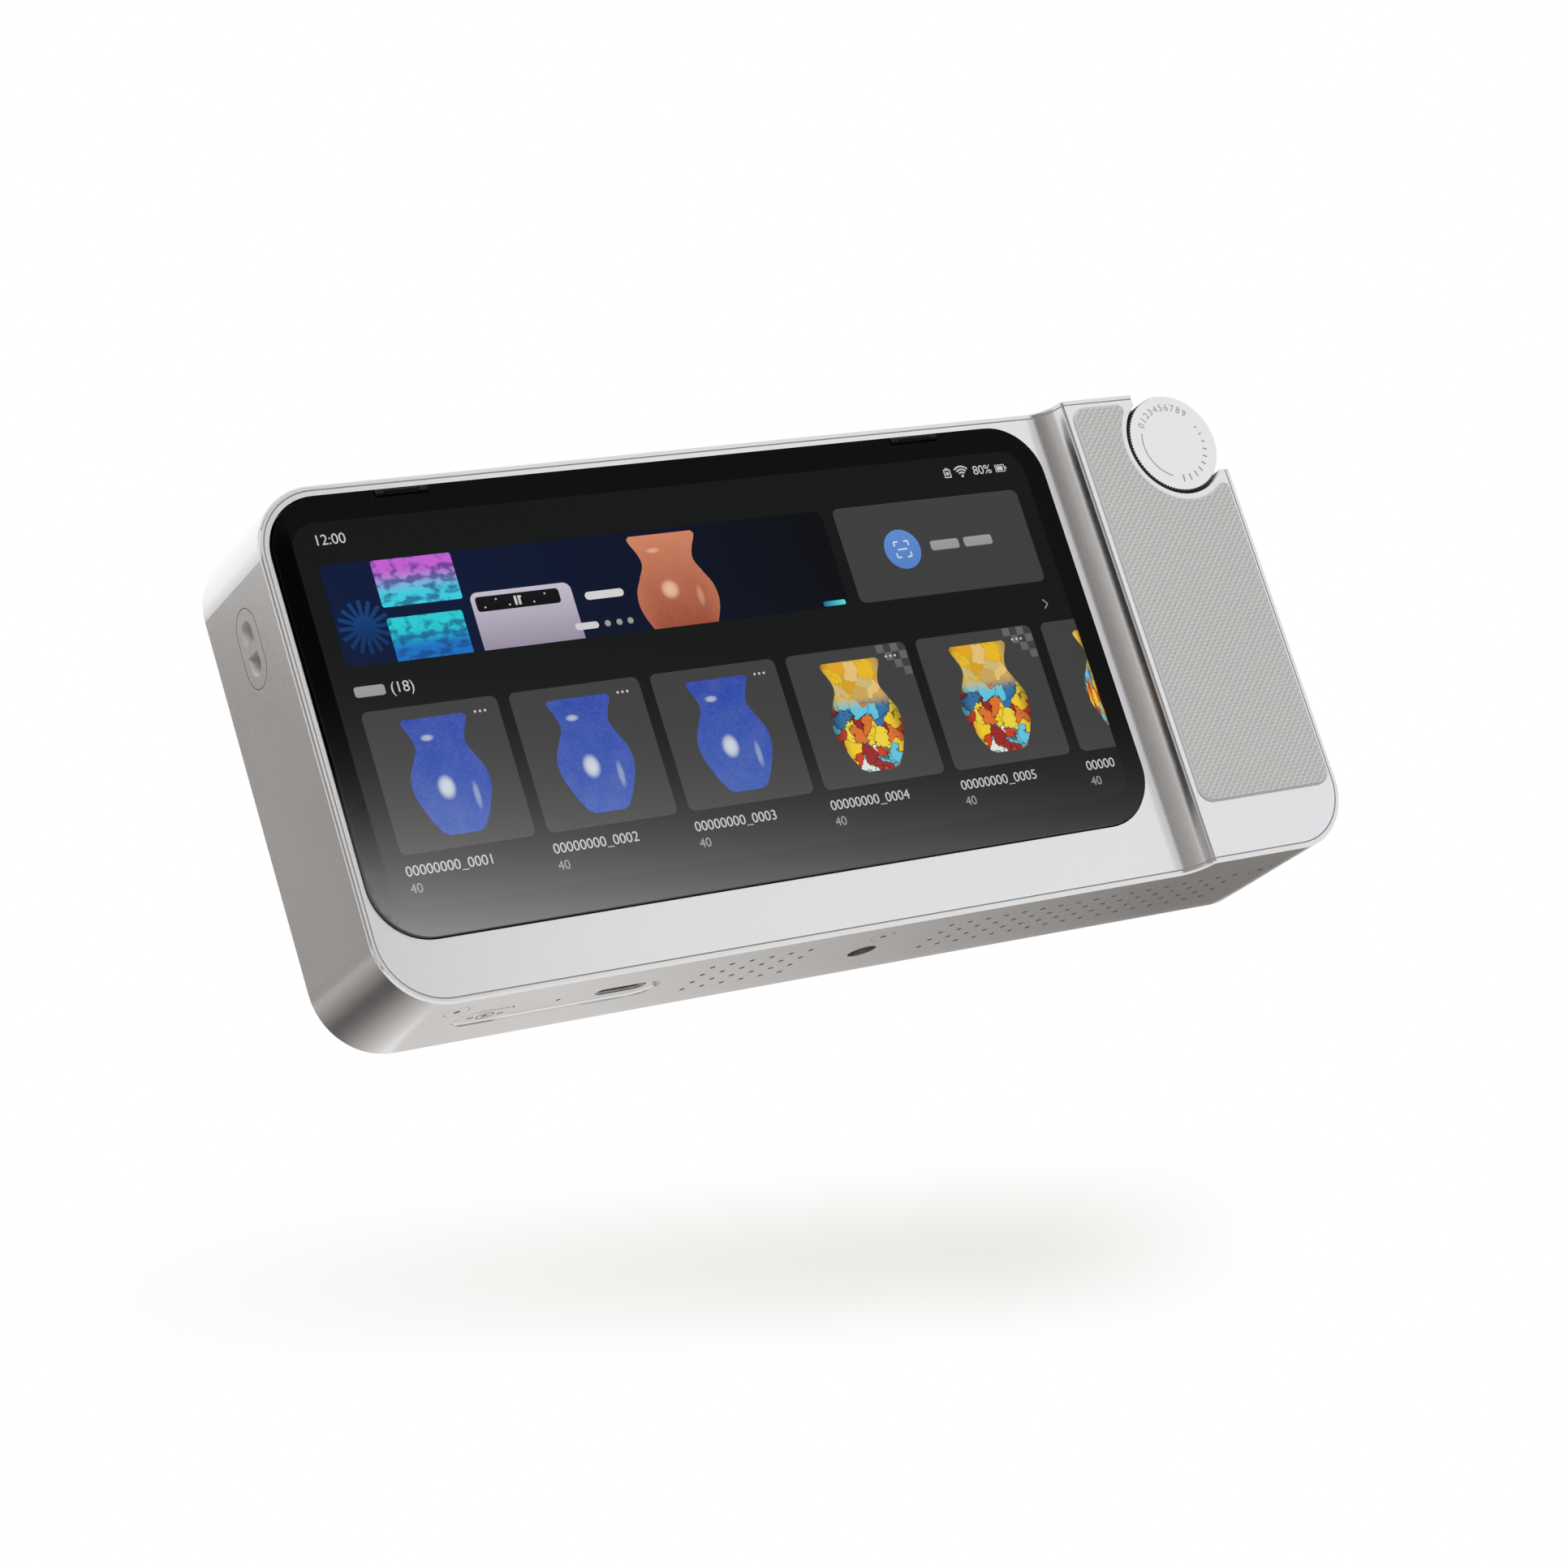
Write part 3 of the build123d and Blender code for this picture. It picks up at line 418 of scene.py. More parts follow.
def satin_metal(name, colour):
    """Bead-blasted aluminium."""
    material, _, shader = grained(name, colour, dark_share=0.95, roughness=0.24, rough_spread=0.03,
                                  bump=0.18, grain_scale=3200.0, wear_and_sheen=0.08)
    give(shader, {"Metallic": 1.0})
    return material


def soft_bend(material, middle, reach, extra):
    """Rougher blasting along a line across the part, so that a bend there shades off softly."""
    tree = material.node_tree
    roughen(tree, spread(tree, away(tree, axes(tree, "Object")["X"], middle), 0.0, reach, extra, 0.0))


def pale_notch(material, colour):
    """Matt pale walls in the knob's notch, where bare metal would only mirror the dark knob."""
    tree = material.node_tree
    notch = use(tree, corner_notch)["Notch"]
    cover(tree, notch, colour)
    roughen(tree, calc(tree, "MULTIPLY", notch, 0.3))
    give(tree.nodes["Principled BSDF"], {"Metallic": calc(tree, "SUBTRACT", 1.0, notch)})


def faced_metal(name, colour, side_colour, axis):
    """Satin metal on the faces across an axis, and a painted finish on the sides along it."""
    material, tree, shader = grained(name, colour, dark_share=0.96, roughness=0.24, rough_spread=0.03,
                                     bump=0.25, grain_scale=3200.0, wear_and_sheen=0.06)
    side = side_mask(tree, axis, 0.7, "Normal")
    cover(tree, side, side_colour)
    give(shader, {"Metallic": calc(tree, "SUBTRACT", 1.0, side)})
    return material


def bright_steel(name, colour, roughness):
    """Turned or stamped steel."""
    material, _, shader = grained(name, colour, dark_share=0.85, roughness=roughness, rough_spread=0.08,
                                  bump=0.1, grain_scale=1500.0, wear_and_sheen=0.1)
    give(shader, {"Metallic": 1.0})
    return material


def moulded(name, colour, roughness, wear_and_sheen=0.3):
    """Moulded plastic, rubber or painted metal."""
    return grained(name, colour, dark_share=0.8, roughness=roughness, rough_spread=0.06,
                   bump=0.3, grain_scale=2200.0, wear_and_sheen=wear_and_sheen)[0]


def polished(name, colour, lighter, roughness, rougher):
    """A polished finish with faint wipe marks. Returns its material and shader."""
    material, tree, shader = blank(name)
    cloud = use(tree, surface_grain, Grain_Scale=900.0, Cloud_Scale=18.0)["Cloud"]
    give(shader, {
        "Base Color": mix(tree, cloud, colour, scaled(colour, lighter)),
        "Roughness": spread(tree, cloud, 0.3, 0.7, roughness, roughness * rougher),
    })
    return material, shader


def screen_glass(name, colour, roughness, level):
    """Black polished cover glass."""
    material, shader = polished(name, colour, 1.6, roughness, 1.2)
    give(shader, {"Specular IOR Level": level})
    return material


def ground_edge(material, colour, height):
    """Ground side walls of a cover glass, grey as ground glass is; their fade from palest at the bottom to
    black from a height upwards is painted light that follows the screen's low haze.
    """
    tree = material.node_tree
    side = side_mask(tree, "Y", 0.5, "True Normal")
    low = spread(tree, axes(tree, "Object")["Z"], glass_low.z, glass_low.z + height, 1.0, 0.0)
    cover(tree, calc(tree, "MULTIPLY", side, low), colour)


def window_glass(name, colour, roughness):
    """Dark see-through glass."""
    material, shader = polished(name, colour, 1.15, roughness, 1.5)
    give(shader, {"Transmission Weight": 1.0})
    return material


def lamp_plastic(name, colour, strength):
    """Diffusing lamp cover that glows a little."""
    material, _, shader = grained(name, colour, dark_share=0.9, roughness=0.35, rough_spread=0.05,
                                  bump=0.1, grain_scale=1800.0, wear_and_sheen=0.0)
    body = shader.inputs["Base Color"].links[0].from_socket
    give(shader, {"Emission Color": body, "Emission Strength": strength})
    return material


def circuit_board(name, colour, trace_colour):
    """Solder mask with copper runs under it."""
    material, tree, _ = grained(name, colour, dark_share=0.7, roughness=0.4, rough_spread=0.05,
                                bump=0.15, grain_scale=900.0, wear_and_sheen=0.2)
    spot = place(tree, "TexCoord").outputs["Object"]
    cells = place(tree, "TexBrick", {"Vector": spot, "Scale": 160.0, "Mortar Size": 0.06})
    cover(tree, cells.outputs["Fac"], trace_colour)
    return material


silver = (0.757, 0.766, 0.783, 1.0)
knob_silver = (0.79, 0.797, 0.81, 1.0)
warm_silver = grey(0.735)
glass_black = (0.0006, 0.0006, 0.0007, 1.0)
finishes = {
    "housing_metal": satin_metal("warm_satin_silver", warm_silver),
    "front_metal": satin_metal("light_satin_silver", silver),
    "cover_metal": satin_metal("cover_satin_silver", warm_silver),
    "knob_metal": faced_metal("knob_satin_silver", knob_silver, (0.09, 0.09, 0.092, 1.0), "Y"),
    "inner_metal": bright_steel("machined_frame", (0.5, 0.5, 0.51, 1.0), 0.4),
    "steel": bright_steel("bright_steel", grey(0.55), 0.3),
    "black_metal": screen_glass("satin_black", grey(0.002), 0.3, 0.06),
    "screen_glass": screen_glass("cover_glass_black", glass_black, 0.08, 0.05),
    "window_glass": window_glass("window_dark_glass", (0.1, 0.1, 0.11, 1.0), 0.03),
    "lens_glass": screen_glass("coated_lens", (0.01, 0.014, 0.03, 1.0), 0.05, 0.6),
    "display": moulded("display_module", (0.01, 0.01, 0.011, 1.0), 0.3),
    "grip_rubber": moulded("grip_rubber", linear(207, 205, 203), 0.55, 0.05),
    "black_rubber": moulded("black_rubber", grey(0.015), 0.6),
    "black_plastic": moulded("black_plastic", (0.02, 0.02, 0.021, 1.0), 0.45),
    "white_plastic": lamp_plastic("lamp_cover", (0.85, 0.86, 0.88, 1.0), 4.0),
    "board": circuit_board("solder_mask", (0.02, 0.09, 0.05, 1.0), (0.06, 0.16, 0.09, 1.0)),
    "battery_wrap": moulded("battery_wrap", (0.06, 0.065, 0.08, 1.0), 0.4),
    "mesh": moulded("dust_mesh", grey(0.012), 0.6),
}
for part in frame["record"]["subparts"]:
    nodes[part["node"]].material_slots[0].material = finishes[part["material_slot"]]
# Glass edge: ground grey, paler at the bottom as painted haze light
ground_edge(finishes["screen_glass"], grey(0.17), edge_haze_height)
pale_notch(finishes["housing_metal"], (0.62, 0.61, 0.6, 1.0))
pale_notch(finishes["front_metal"], (0.66, 0.66, 0.67, 1.0))
soft_bend(finishes["front_metal"], ramp_foot, ramp_foot_reach, 0.25)
anchor_metal = faced_metal("anchor_satin_silver", warm_silver, (0.62, 0.6, 0.58, 1.0), "X")
nodes["strap_anchor"].material_slots[0].material = anchor_metal


# Flat shapes, as points across and up
def rounded_box(left, low, width, height, radius):
    """Outline of a rectangle with round corners."""
    points = []
    corners = [
        (left + width - radius, low + height - radius, 0),
        (left + radius, low + height - radius, 90),
        (left + radius, low + radius, 180),
        (left + width - radius, low + radius, 270),
    ]
    for x, y, start in corners:
        for step in range(arc_steps + 1):
            angle = radians(start + 90 * step / arc_steps)
            points.append((x + radius * cos(angle), y + radius * sin(angle)))
    return points


def open_box(left, low, width, height, bar, radius, tuck=0.0):
    """Four bars round an empty box. The side bars may stop short of its corners."""
    side = height - 2 * tuck
    return [
        rounded_box(left, low + tuck, bar, side, radius),
        rounded_box(left + width - bar, low + tuck, bar, side, radius),
        rounded_box(left, low + height - bar, width, bar, radius),
        rounded_box(left, low, width, bar, radius),
    ]


def disc(x, y, radius):
    """Outline of a circle."""
    steps = 4 * arc_steps
    turns = [2 * pi * step / steps for step in range(steps)]
    return [(x + radius * cos(turn), y + radius * sin(turn)) for turn in turns]


def arc_band(x, y, radius, width, start, end):
    """Outline of a curved stroke between two angles in degrees."""
    steps = 2 * arc_steps
    turns = [radians(start + (end - start) * step / steps) for step in range(steps + 1)]
    far, near = radius + width / 2, radius - width / 2
    outer = [(x + far * cos(turn), y + far * sin(turn)) for turn in turns]
    inner = [(x + near * cos(turn), y + near * sin(turn)) for turn in turns]
    return outer + inner[::-1]


def stroke(start, end, width):
    """Outline of a straight stroke between two points."""
    a, b = Vector(start), Vector(end)
    along = (b - a).normalized()
    aside = Vector((-along.y, along.x)) * width / 2
    return [tuple(a + aside), tuple(a - aside), tuple(b - aside), tuple(b + aside)]


def cut(points, axis, limit, keep_low):
    """The part of an outline on one side of a limit across (0) or up (1)."""
    kept = []
    for here, after in zip(points, points[1:] + points[:1]):
        here_in = (here[axis] <= limit) == keep_low
        after_in = (after[axis] <= limit) == keep_low
        if here_in:
            kept.append(here)
        if here_in != after_in:
            share = (limit - here[axis]) / (after[axis] - here[axis])
            kept.append(tuple(p + share * (q - p) for p, q in zip(here, after)))
    return kept


# Pieces from meshes and numbers
def in_scene(name, data):
    """A new object with its data, in the scene."""
    made = bpy.data.objects.new(name, data)
    bpy.context.scene.collection.objects.link(made)
    return made


def piece_from(shape, name, paint=None):
    """A piece from a finished mesh shape."""
    bmesh.ops.recalc_face_normals(shape, faces=shape.faces)
    mesh = bpy.data.meshes.new(name)
    shape.to_mesh(mesh)
    shape.free()
    if paint:
        mesh.materials.append(paint)
    return in_scene(name, mesh)


def join_rings(shape, near, far):
    """Side faces between two rings of as many points."""
    count = len(near)
    for step in range(count):
        after = (step + 1) % count
        shape.faces.new((near[step], near[after], far[after], far[step]))


def thin_plates(name, outlines, to_world, thickness, paint):
    """One piece of thin closed plates. to_world places a point across, up and out of the surface."""
    shape = bmesh.new()
    for points in outlines:
        front = [shape.verts.new(to_world(u, v, thickness)) for u, v in points]
        back = [shape.verts.new(to_world(u, v, 0.0)) for u, v in points]
        shape.faces.new(front)
        shape.faces.new(back[::-1])
        join_rings(shape, front, back)
    return piece_from(shape, name, paint)


def number_text(name, text, tall, paint):
    """Thin raised numbers, on their middle line."""
    words = bpy.data.curves.new(name, "FONT")
    words.body = text
    words.size = tall / digit_share
    words.extrude = print_thickness / 2
    words.align_y = "CENTER"
    words.materials.append(paint)
    return in_scene(name, words)


# Lit screen: places are millimetres from the lower left corner of the lit area
def screen_point(layer):
    """Placer for points on a layer above the cover glass."""
    def to_world(u, v, out):
        y = glass_low.y - layer * layer_step - out
        return Vector((glass_low.x + (lit_left + u) * mm, y, glass_low.z + (lit_low + v) * mm))
    return to_world


def on_screen(name, outlines, layer, paint):
    """A lit shape on the screen."""
    piece = thin_plates(name, outlines, screen_point(layer), print_thickness, paint)
    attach(piece, "screen")


def digits(name, text, u, v, tall, paint):
    """A line of numbers on the screen, from its left end."""
    piece = number_text(name, text, tall * mm, paint)
    piece.rotation_euler = (pi / 2, 0, 0)
    piece.location = screen_point(1)(u, v, print_thickness / 2)
    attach(piece, "screen")


def finish_lit(shader, colour):
    """Lets a colour glow from behind the cover glass."""
    give(shader, {"Emission Color": colour, "Emission Strength": 1.0})
    give(shader, {"Base Color": glass_black, "Roughness": 0.09, "Specular IOR Level": 0.05})


def uneven(tree, colour, most):
    """A lit colour with the display's slight unevenness."""
    glow = use(tree, pixel_glow)["Glow"]
    return mix(tree, spread(tree, glow, 0.0, 1.0, most, 0.0), colour, black)


def lit_paint(name, low, high, axis="Z"):
    """Display light that runs from one display colour to another across the shape."""
    material, tree, shader = blank(name)
    colour = mix(tree, axes(tree, "Generated")[axis], linear(*low), linear(*high))
    finish_lit(shader, uneven(tree, colour, 0.06))
    return material


def glazed_paint(name, low, high, shine):
    """A glazed vase as a scanned model shows it: darker rims, fine specks and three shines."""
    material, tree, shader = blank(name)
    high_colour, shine_colour = linear(*high), linear(*shine)
    spot = axes(tree, "Generated")
    body = mix(tree, spot["Z"], linear(*low), high_colour)
    rim = spread(tree, away(tree, spot["X"], 0.5), 0.25, 0.5, 0.0, 0.35)
    body = mix(tree, rim, body, high_colour)
    speck = use(tree, surface_grain, Grain_Scale=2600.0, Cloud_Scale=260.0)
    tone = weighted(tree, speck["Grain"], 0.5, speck["Cloud"], 0.5)
    body = mix(tree, spread(tree, tone, 0.35, 0.65, 0.0, 0.05), body, shine_colour)
    # Each shine's place across and up, its half width and height, and its strength
    shines = ((0.43, 0.4, 0.13, 0.12, 0.9), (0.36, 0.83, 0.1, 0.035, 0.6), (0.78, 0.3, 0.05, 0.14, 0.35))
    for x, z, wide, tall, gain in shines:
        across = calc(tree, "DIVIDE", calc(tree, "SUBTRACT", spot["X"], x), wide)
        up = calc(tree, "DIVIDE", calc(tree, "SUBTRACT", spot["Z"], z), tall)
        far = weighted(tree, across, across, up, up)
        body = mix(tree, spread(tree, far, 0.0, 1.0, gain, 0.0), body, shine_colour)
    finish_lit(shader, uneven(tree, body, 0.1))
    return material


def mottled_paint(name, low, high, dark):
    """A blurred bright picture: two colours one above the other, with dark clouds."""
    material, tree, shader = blank(name)
    rise = spread(tree, axes(tree, "Generated")["Z"], 0.2, 0.8, 0.0, 1.0)
    colour = mix(tree, rise, linear(*low), linear(*high))
    where = place(tree, "TexCoord").outputs["Generated"]
    clouds = place(tree, "TexNoise", {"Vector": where, "Scale": 5.0, "Detail": 2.0}).outputs["Fac"]
    finish_lit(shader, mix(tree, spread(tree, clouds, 0.45, 0.62, 0.0, 0.7), colour, linear(*dark)))
    return material


def patchwork_paint(name, glazes, ground, neck):
    """A vase in many coloured glazes, in small patches with dark lines between them, and a plain neck."""
    material, tree, shader = blank(name)
    spot = axes(tree, "Generated")
    tall = calc(tree, "MULTIPLY", spot["Z"], 1.4)
    flat = place(tree, "CombineXYZ", {"X": spot["X"], "Y": 0.0, "Z": tall}).outputs[0]
    drift = place(tree, "TexNoise", {"Vector": flat, "Scale": 6.0, "Detail": 3.0}).outputs["Color"]
    wander = place(tree, "VectorMath", {0: drift, "Scale": 0.3}, operation="SCALE").outputs[0]
    bent = place(tree, "VectorMath", {0: flat, 1: wander}, operation="ADD").outputs[0]
    patch = {"Vector": bent, "Scale": 5.5}
    pick = place(tree, "SeparateColor", {0: place(tree, "TexVoronoi", patch).outputs["Color"]}).outputs[0]
    patches = place(tree, "ValToRGB", {"Fac": pick})
    patches.color_ramp.interpolation = "CONSTANT"
    stops = patches.color_ramp.elements
    while len(stops) < len(glazes):
        stops.new(0.5)
    for number, glaze in enumerate(glazes):
        stops[number].position = number / len(glazes)
        stops[number].color = linear(*glaze)
    border = place(tree, "TexVoronoi", patch, feature="DISTANCE_TO_EDGE").outputs["Distance"]
    line = spread(tree, border, 0.0, 0.06, 0.9, 0.0)
    body = mix(tree, line, patches.outputs["Color"], linear(*ground))
    body = mix(tree, spread(tree, spot["Z"], 0.55, 0.68, 0.0, 0.75), body, linear(*neck))
    rim = spread(tree, away(tree, spot["X"], 0.5), 0.3, 0.5, 0.0, 0.6)
    finish_lit(shader, mix(tree, rim, body, linear(*ground)))
    return material


def vase_outline(middle, low, width, height):
    """Side view of a plain footed vase: a smooth curve through shares of its height and half width."""
    stations = [(0.0, 0.4), (0.03, 0.56), (0.14, 0.76), (0.36, 1.0), (0.52, 0.98), (0.66, 0.78)]
    stations += [(0.75, 0.66), (0.84, 0.7), (0.97, 0.86), (1.0, 0.8)]
    side = []
    per_station = 6
    for number in range(len(stations) - 1):
        before = stations[max(number - 1, 0)]
        here, after = stations[number], stations[number + 1]
        beyond = stations[min(number + 2, len(stations) - 1)]
        for step in range(per_station):
            t = step / per_station
            rise = here[0] + (after[0] - here[0]) * t
            bend = 2 * here[1] + (after[1] - before[1]) * t
            bend += (2 * before[1] - 5 * here[1] + 4 * after[1] - beyond[1]) * t * t
            bend += (3 * here[1] - before[1] - 3 * after[1] + beyond[1]) * t**3
            side.append((rise, bend / 2))
    side.append(stations[-1])
    right = [(middle + width / 2 * half, low + height * rise) for rise, half in side]
    left = [(middle - width / 2 * half, low + height * rise) for rise, half in side]
    return right + left[::-1]


text_paint = lit_paint("text_light", (196, 196, 194), (200, 200, 200))
soft_paint = lit_paint("soft_text_light", (150, 150, 148), (156, 156, 156))
card_paint = lit_paint("card_grey", (61, 61, 60), (62, 62, 62))


def boxes(*places):
    """Rounded boxes, each from its left, low, width, height and corner radius."""
    return [rounded_box(*spot) for spot in places]


def status_row():
    """Clock at the left; board, signal and battery marks at the right."""
    row, clock, board, wave, charge, cell = 62.5, 3.8, 125.5, 129.2, 131.6, 136.4
    clock_tall, charge_tall = 1.85, 1.7
    wave_low, wave_width, wave_radii = row - 0.8, 0.28, (0.8, 1.35, 1.9)
    dot_low, dot_radius = row - 0.7, 0.25
    board_frame = (board, row - 0.8, 1.4, 1.6, 0.2, 0.08)
    board_chip = (board + 0.4, row - 0.3, 0.6, 0.6, 0.1)
    board_tab = (board + 0.4, row + 0.85, 0.6, 0.2, 0.08)
    cell_frame = (cell, row - 0.69, 2.04, 1.38, 0.14, 0.06, 0.04)
    cell_charge = (cell + 0.3, row - 0.4, 1.3, 0.8, 0.1)
    cell_tip = (cell + 2.15, row - 0.3, 0.2, 0.6, 0.08)
    digits("clock_digits", "12:00", clock, row, clock_tall, text_paint)
    digits("charge_digits", "80%", charge, row, charge_tall, text_paint)
    marks = [arc_band(wave, wave_low, radius, wave_width, 45, 135) for radius in wave_radii]
    marks.append(disc(wave, dot_low, dot_radius))
    marks += open_box(*board_frame) + boxes(board_chip, board_tab)
    marks += open_box(*cell_frame) + boxes(cell_charge, cell_tip)
    on_screen("status_marks", marks, 1, text_paint)


def banner_card():
    """Wide picture card: a dim room, two bright displays, a scanner and a vase."""
    left, low, width = card_left, top_row_low, 94.75
    fan_hub = Vector((left + 5.0, low + 6.4))
    displays_left, scanner_left = left + 9.0, left + 24.6
    glint_box = (left + width - 5.0, low + 0.25, 4.4, 0.9, 0.3)
    vase_place = (left + 62.5, low - 4.0, 15.0, 20.6)
    pill_high, pill_low = (left + 45.3, low + 6.45, 7.3, 1.4, 0.7), (left + 41.9, low + 1.45, 4.4, 1.2, 0.6)
    dot_lefts, dot_low, dot_radius = (left + 48.0, left + 50.2, left + 52.3), low + 2.05, 0.55
    dusk = lit_paint("banner_dusk", (3, 22, 58), (2, 3, 8), "X")
    on_screen("banner_card", boxes((left, low, width, top_row_height, card_radius)), 1, dusk)
    banner_fan(fan_hub, left)
    banner_displays(displays_left, low)
    glint = lit_paint("banner_glint", (10, 110, 150), (90, 220, 230), "X")
    on_screen("banner_glint", boxes(glint_box), 2, glint)
    banner_scanner(scanner_left, low)
    clay = glazed_paint("banner_clay", (150, 70, 48), (206, 128, 96), (236, 190, 160))
    on_screen("banner_vase", [cut(vase_outline(*vase_place), 1, low, False)], 3, clay)
    pale = lit_paint("banner_pale", (205, 203, 206), (212, 210, 212))
    on_screen("banner_pills", boxes(pill_high, pill_low), 6, pale)
    on_screen("banner_pages", [disc(u, dot_low, dot_radius) for u in dot_lefts], 6, soft_paint)


def banner_fan(hub, edge):
    """Dim wheel in the lower left corner of the picture card, cut off before the card's edge."""
    reach, count, width, hub_radius, edge_gap = 4.6, 16, 0.7, 1.9, 0.2
    turns = [2 * pi * step / count for step in range(count)]
    spokes = [stroke(hub, hub + reach * Vector((cos(turn), sin(turn))), width) for turn in turns]
    blue = lit_paint("banner_fan_blue", (8, 46, 96), (14, 62, 120))
    on_screen("banner_fan", [cut(spoke, 0, edge + edge_gap, False) for spoke in spokes], 2, blue)
    on_screen("banner_hub", [disc(hub.x, hub.y, hub_radius)], 3, blue)


def banner_displays(left, low):
    """Two bright displays, the lower one cut off by the card's edge."""
    high_box = (left, low + top_row_height - 8.2, 14.4, 8.1, 0.4)
    low_box = (left, low - 3.0, 13.6, 10.4, 0.4)
    violet = mottled_paint("banner_violet", (60, 200, 220), (190, 96, 206), (24, 40, 110))
    on_screen("banner_display_high", boxes(high_box), 2, violet)
    teal = mottled_paint("banner_teal", (24, 110, 190), (40, 200, 206), (20, 60, 120))
    on_screen("banner_display_low", [cut(rounded_box(*low_box), 1, low, False)], 2, teal)


def banner_scanner(left, low):
    """Back of a scanner with its dark window, lamps and two bars, cut off by the card's edge."""
    shell_box = (left, low - 3.0, 18.6, 13.0, 1.4)
    u, v = left + 0.8, low + 6.6
    window_box = (u, v, 15.4, 2.6, 0.6)
    first_lamp, lamp_low, lamp_pitch, lamp_rise, lamp_radius = u + 1.5, v + 0.7, 2.25, 1.2, 0.16
    bar_boxes = [(u + bar, v + 0.5, 0.45, 1.6, 0.1) for bar in (7.0, 7.7)]
    shell = lit_paint("banner_shell", (150, 140, 160), (196, 190, 204))
    on_screen("banner_scanner", [cut(rounded_box(*shell_box), 1, low, False)], 3, shell)
    ink = lit_paint("banner_ink", (8, 8, 12), (14, 14, 18))
    on_screen("banner_window", boxes(window_box), 4, ink)
    lamps = []
    for step in range(6):
        lamps.append(disc(first_lamp + lamp_pitch * step, lamp_low + lamp_rise * (step % 2), lamp_radius))
    on_screen("banner_lamps", lamps + boxes(*bar_boxes), 5, text_paint)


def action_card():
    """Card with a round scan mark and a label of two bars."""
    left, low, width = 100.5, top_row_low, 38.65
    u, v, radius = left + 11.65, low + 8.85, 3.65
    reach, arm, thick, half_bar = 1.45, 0.85, 0.26, 0.95
    label_boxes = [(left + start, low + 7.95, 5.9, 1.8, 0.5) for start in (17.5, 24.5)]
    on_screen("action_card", boxes((left, low, width, top_row_height, card_radius)), 1, card_paint)
    blue = lit_paint("action_blue", (84, 128, 196), (94, 140, 208))
    on_screen("action_disc", [disc(u, v, radius)], 2, blue)
    brackets = [stroke((u - half_bar, v), (u + half_bar, v), thick)]
    for across in (-1, 1):
        for up in (-1, 1):
            corner = (u + across * reach, v + up * reach)
            brackets.append(stroke(corner, (corner[0] - across * arm, corner[1]), thick))
            brackets.append(stroke(corner, (corner[0], corner[1] - up * arm), thick))
    pale = lit_paint("action_mark", (208, 216, 226), (214, 222, 232))
    on_screen("action_mark", brackets, 3, pale)
    on_screen("action_label", boxes(*label_boxes), 2, soft_paint)


def file_row():
    """Title line over the row of model cards."""
    row, count_left, count_tall = 36.5, card_left + 6.3, 1.9
    title_box = (card_left, row - 0.9, 5.4, 1.8, 0.5)
    tip, arm_across, arm_up, arm_width = Vector((138.0, row)), 0.8, 0.85, 0.2
    on_screen("row_title", boxes(title_box), 1, soft_paint)
    digits("row_count", "(18)", count_left, row, count_tall, text_paint)
    arms = [tip + Vector((-arm_across, rise)) for rise in (arm_up, -arm_up)]
    on_screen("row_chevron", [stroke(arm, tip, arm_width) for arm in arms], 1, soft_paint)
    model_cards()


def model_cards():
    """Row of cards with a vase, its number and its tally on each. The screen's edge cuts off the last."""
    low, size, pitch, count = 9.0, 24.1, 26.3, 6
    vase_low, vase_wide, vase_tall = low + 2.1, 13.6, 19.8
    dot_left, dot_low, dot_pitch, dot_radius = 19.7, low + 21.8, 0.9, 0.22
    number_low, number_tall, tally_low, tally_tall = low - 2.75, 1.75, low - 5.6, 1.6
    blue = glazed_paint("model_blue", (50, 86, 176), (40, 70, 168), (214, 222, 226))
    glazes = [(196, 60, 30), (96, 190, 214), (232, 206, 60), (222, 222, 216)]
    glazes += [(214, 110, 40), (52, 110, 160), (236, 196, 40), (150, 34, 28)]
    patched = patchwork_paint("model_patchwork", glazes, (16, 10, 8), (224, 176, 34))
    pale = lit_paint("checker_pale", (96, 96, 96), (100, 100, 100))
    menus, checks = [], []
    for number in range(count):
        left = card_left + pitch * number
        card = cut(rounded_box(left, low, size, size, card_radius), 0, lit_width, True)
        on_screen(f"model_card_{number + 1}", [card], 1, card_paint)
        vase = cut(vase_outline(left + size / 2, vase_low, vase_wide, vase_tall), 0, lit_width, True)
        coloured = number >= count / 2
        on_screen(f"model_vase_{number + 1}", [vase], 3, patched if coloured else blue)
        whole = left + size < lit_width
        if whole:
            menus += [disc(left + dot_left + dot_pitch * step, dot_low, dot_radius) for step in range(3)]
        if coloured and whole:
            checks += checker(left + size, low + size)
        label = f"00000000_000{number + 1}" if whole else "00000"
        digits(f"model_number_{number + 1}", label, left, number_low, number_tall, text_paint)
        digits(f"model_tally_{number + 1}", "40", left, tally_low, tally_tall, soft_paint)
    on_screen("model_checks", checks, 2, pale)
    on_screen("model_menus", menus, 4, text_paint)


def checker(right, top):
    """Squares that stand for an empty backdrop, in the upper right corner of a card."""
    side, rows, inset, radius = 1.45, 4, 0.1, 0.02
    squares = []
    for across in range(rows):
        for down in range(rows - across):
            if (across + down) % 2:
                left = right - (across + 1) * side - inset
                squares.append(rounded_box(left, top - (down + 1) * side - inset, side, side, radius))
    return squares


def lit_screen():
    """The display's ground and everything shown on it."""
    dark = lit_paint("screen_ground", (13, 15, 14), (15, 17, 16))
    on_screen("screen_ground", boxes((0, 0, lit_width, lit_height, lit_radius)), 0, dark)
    status_row()
    banner_card()
    action_card()
    file_row()


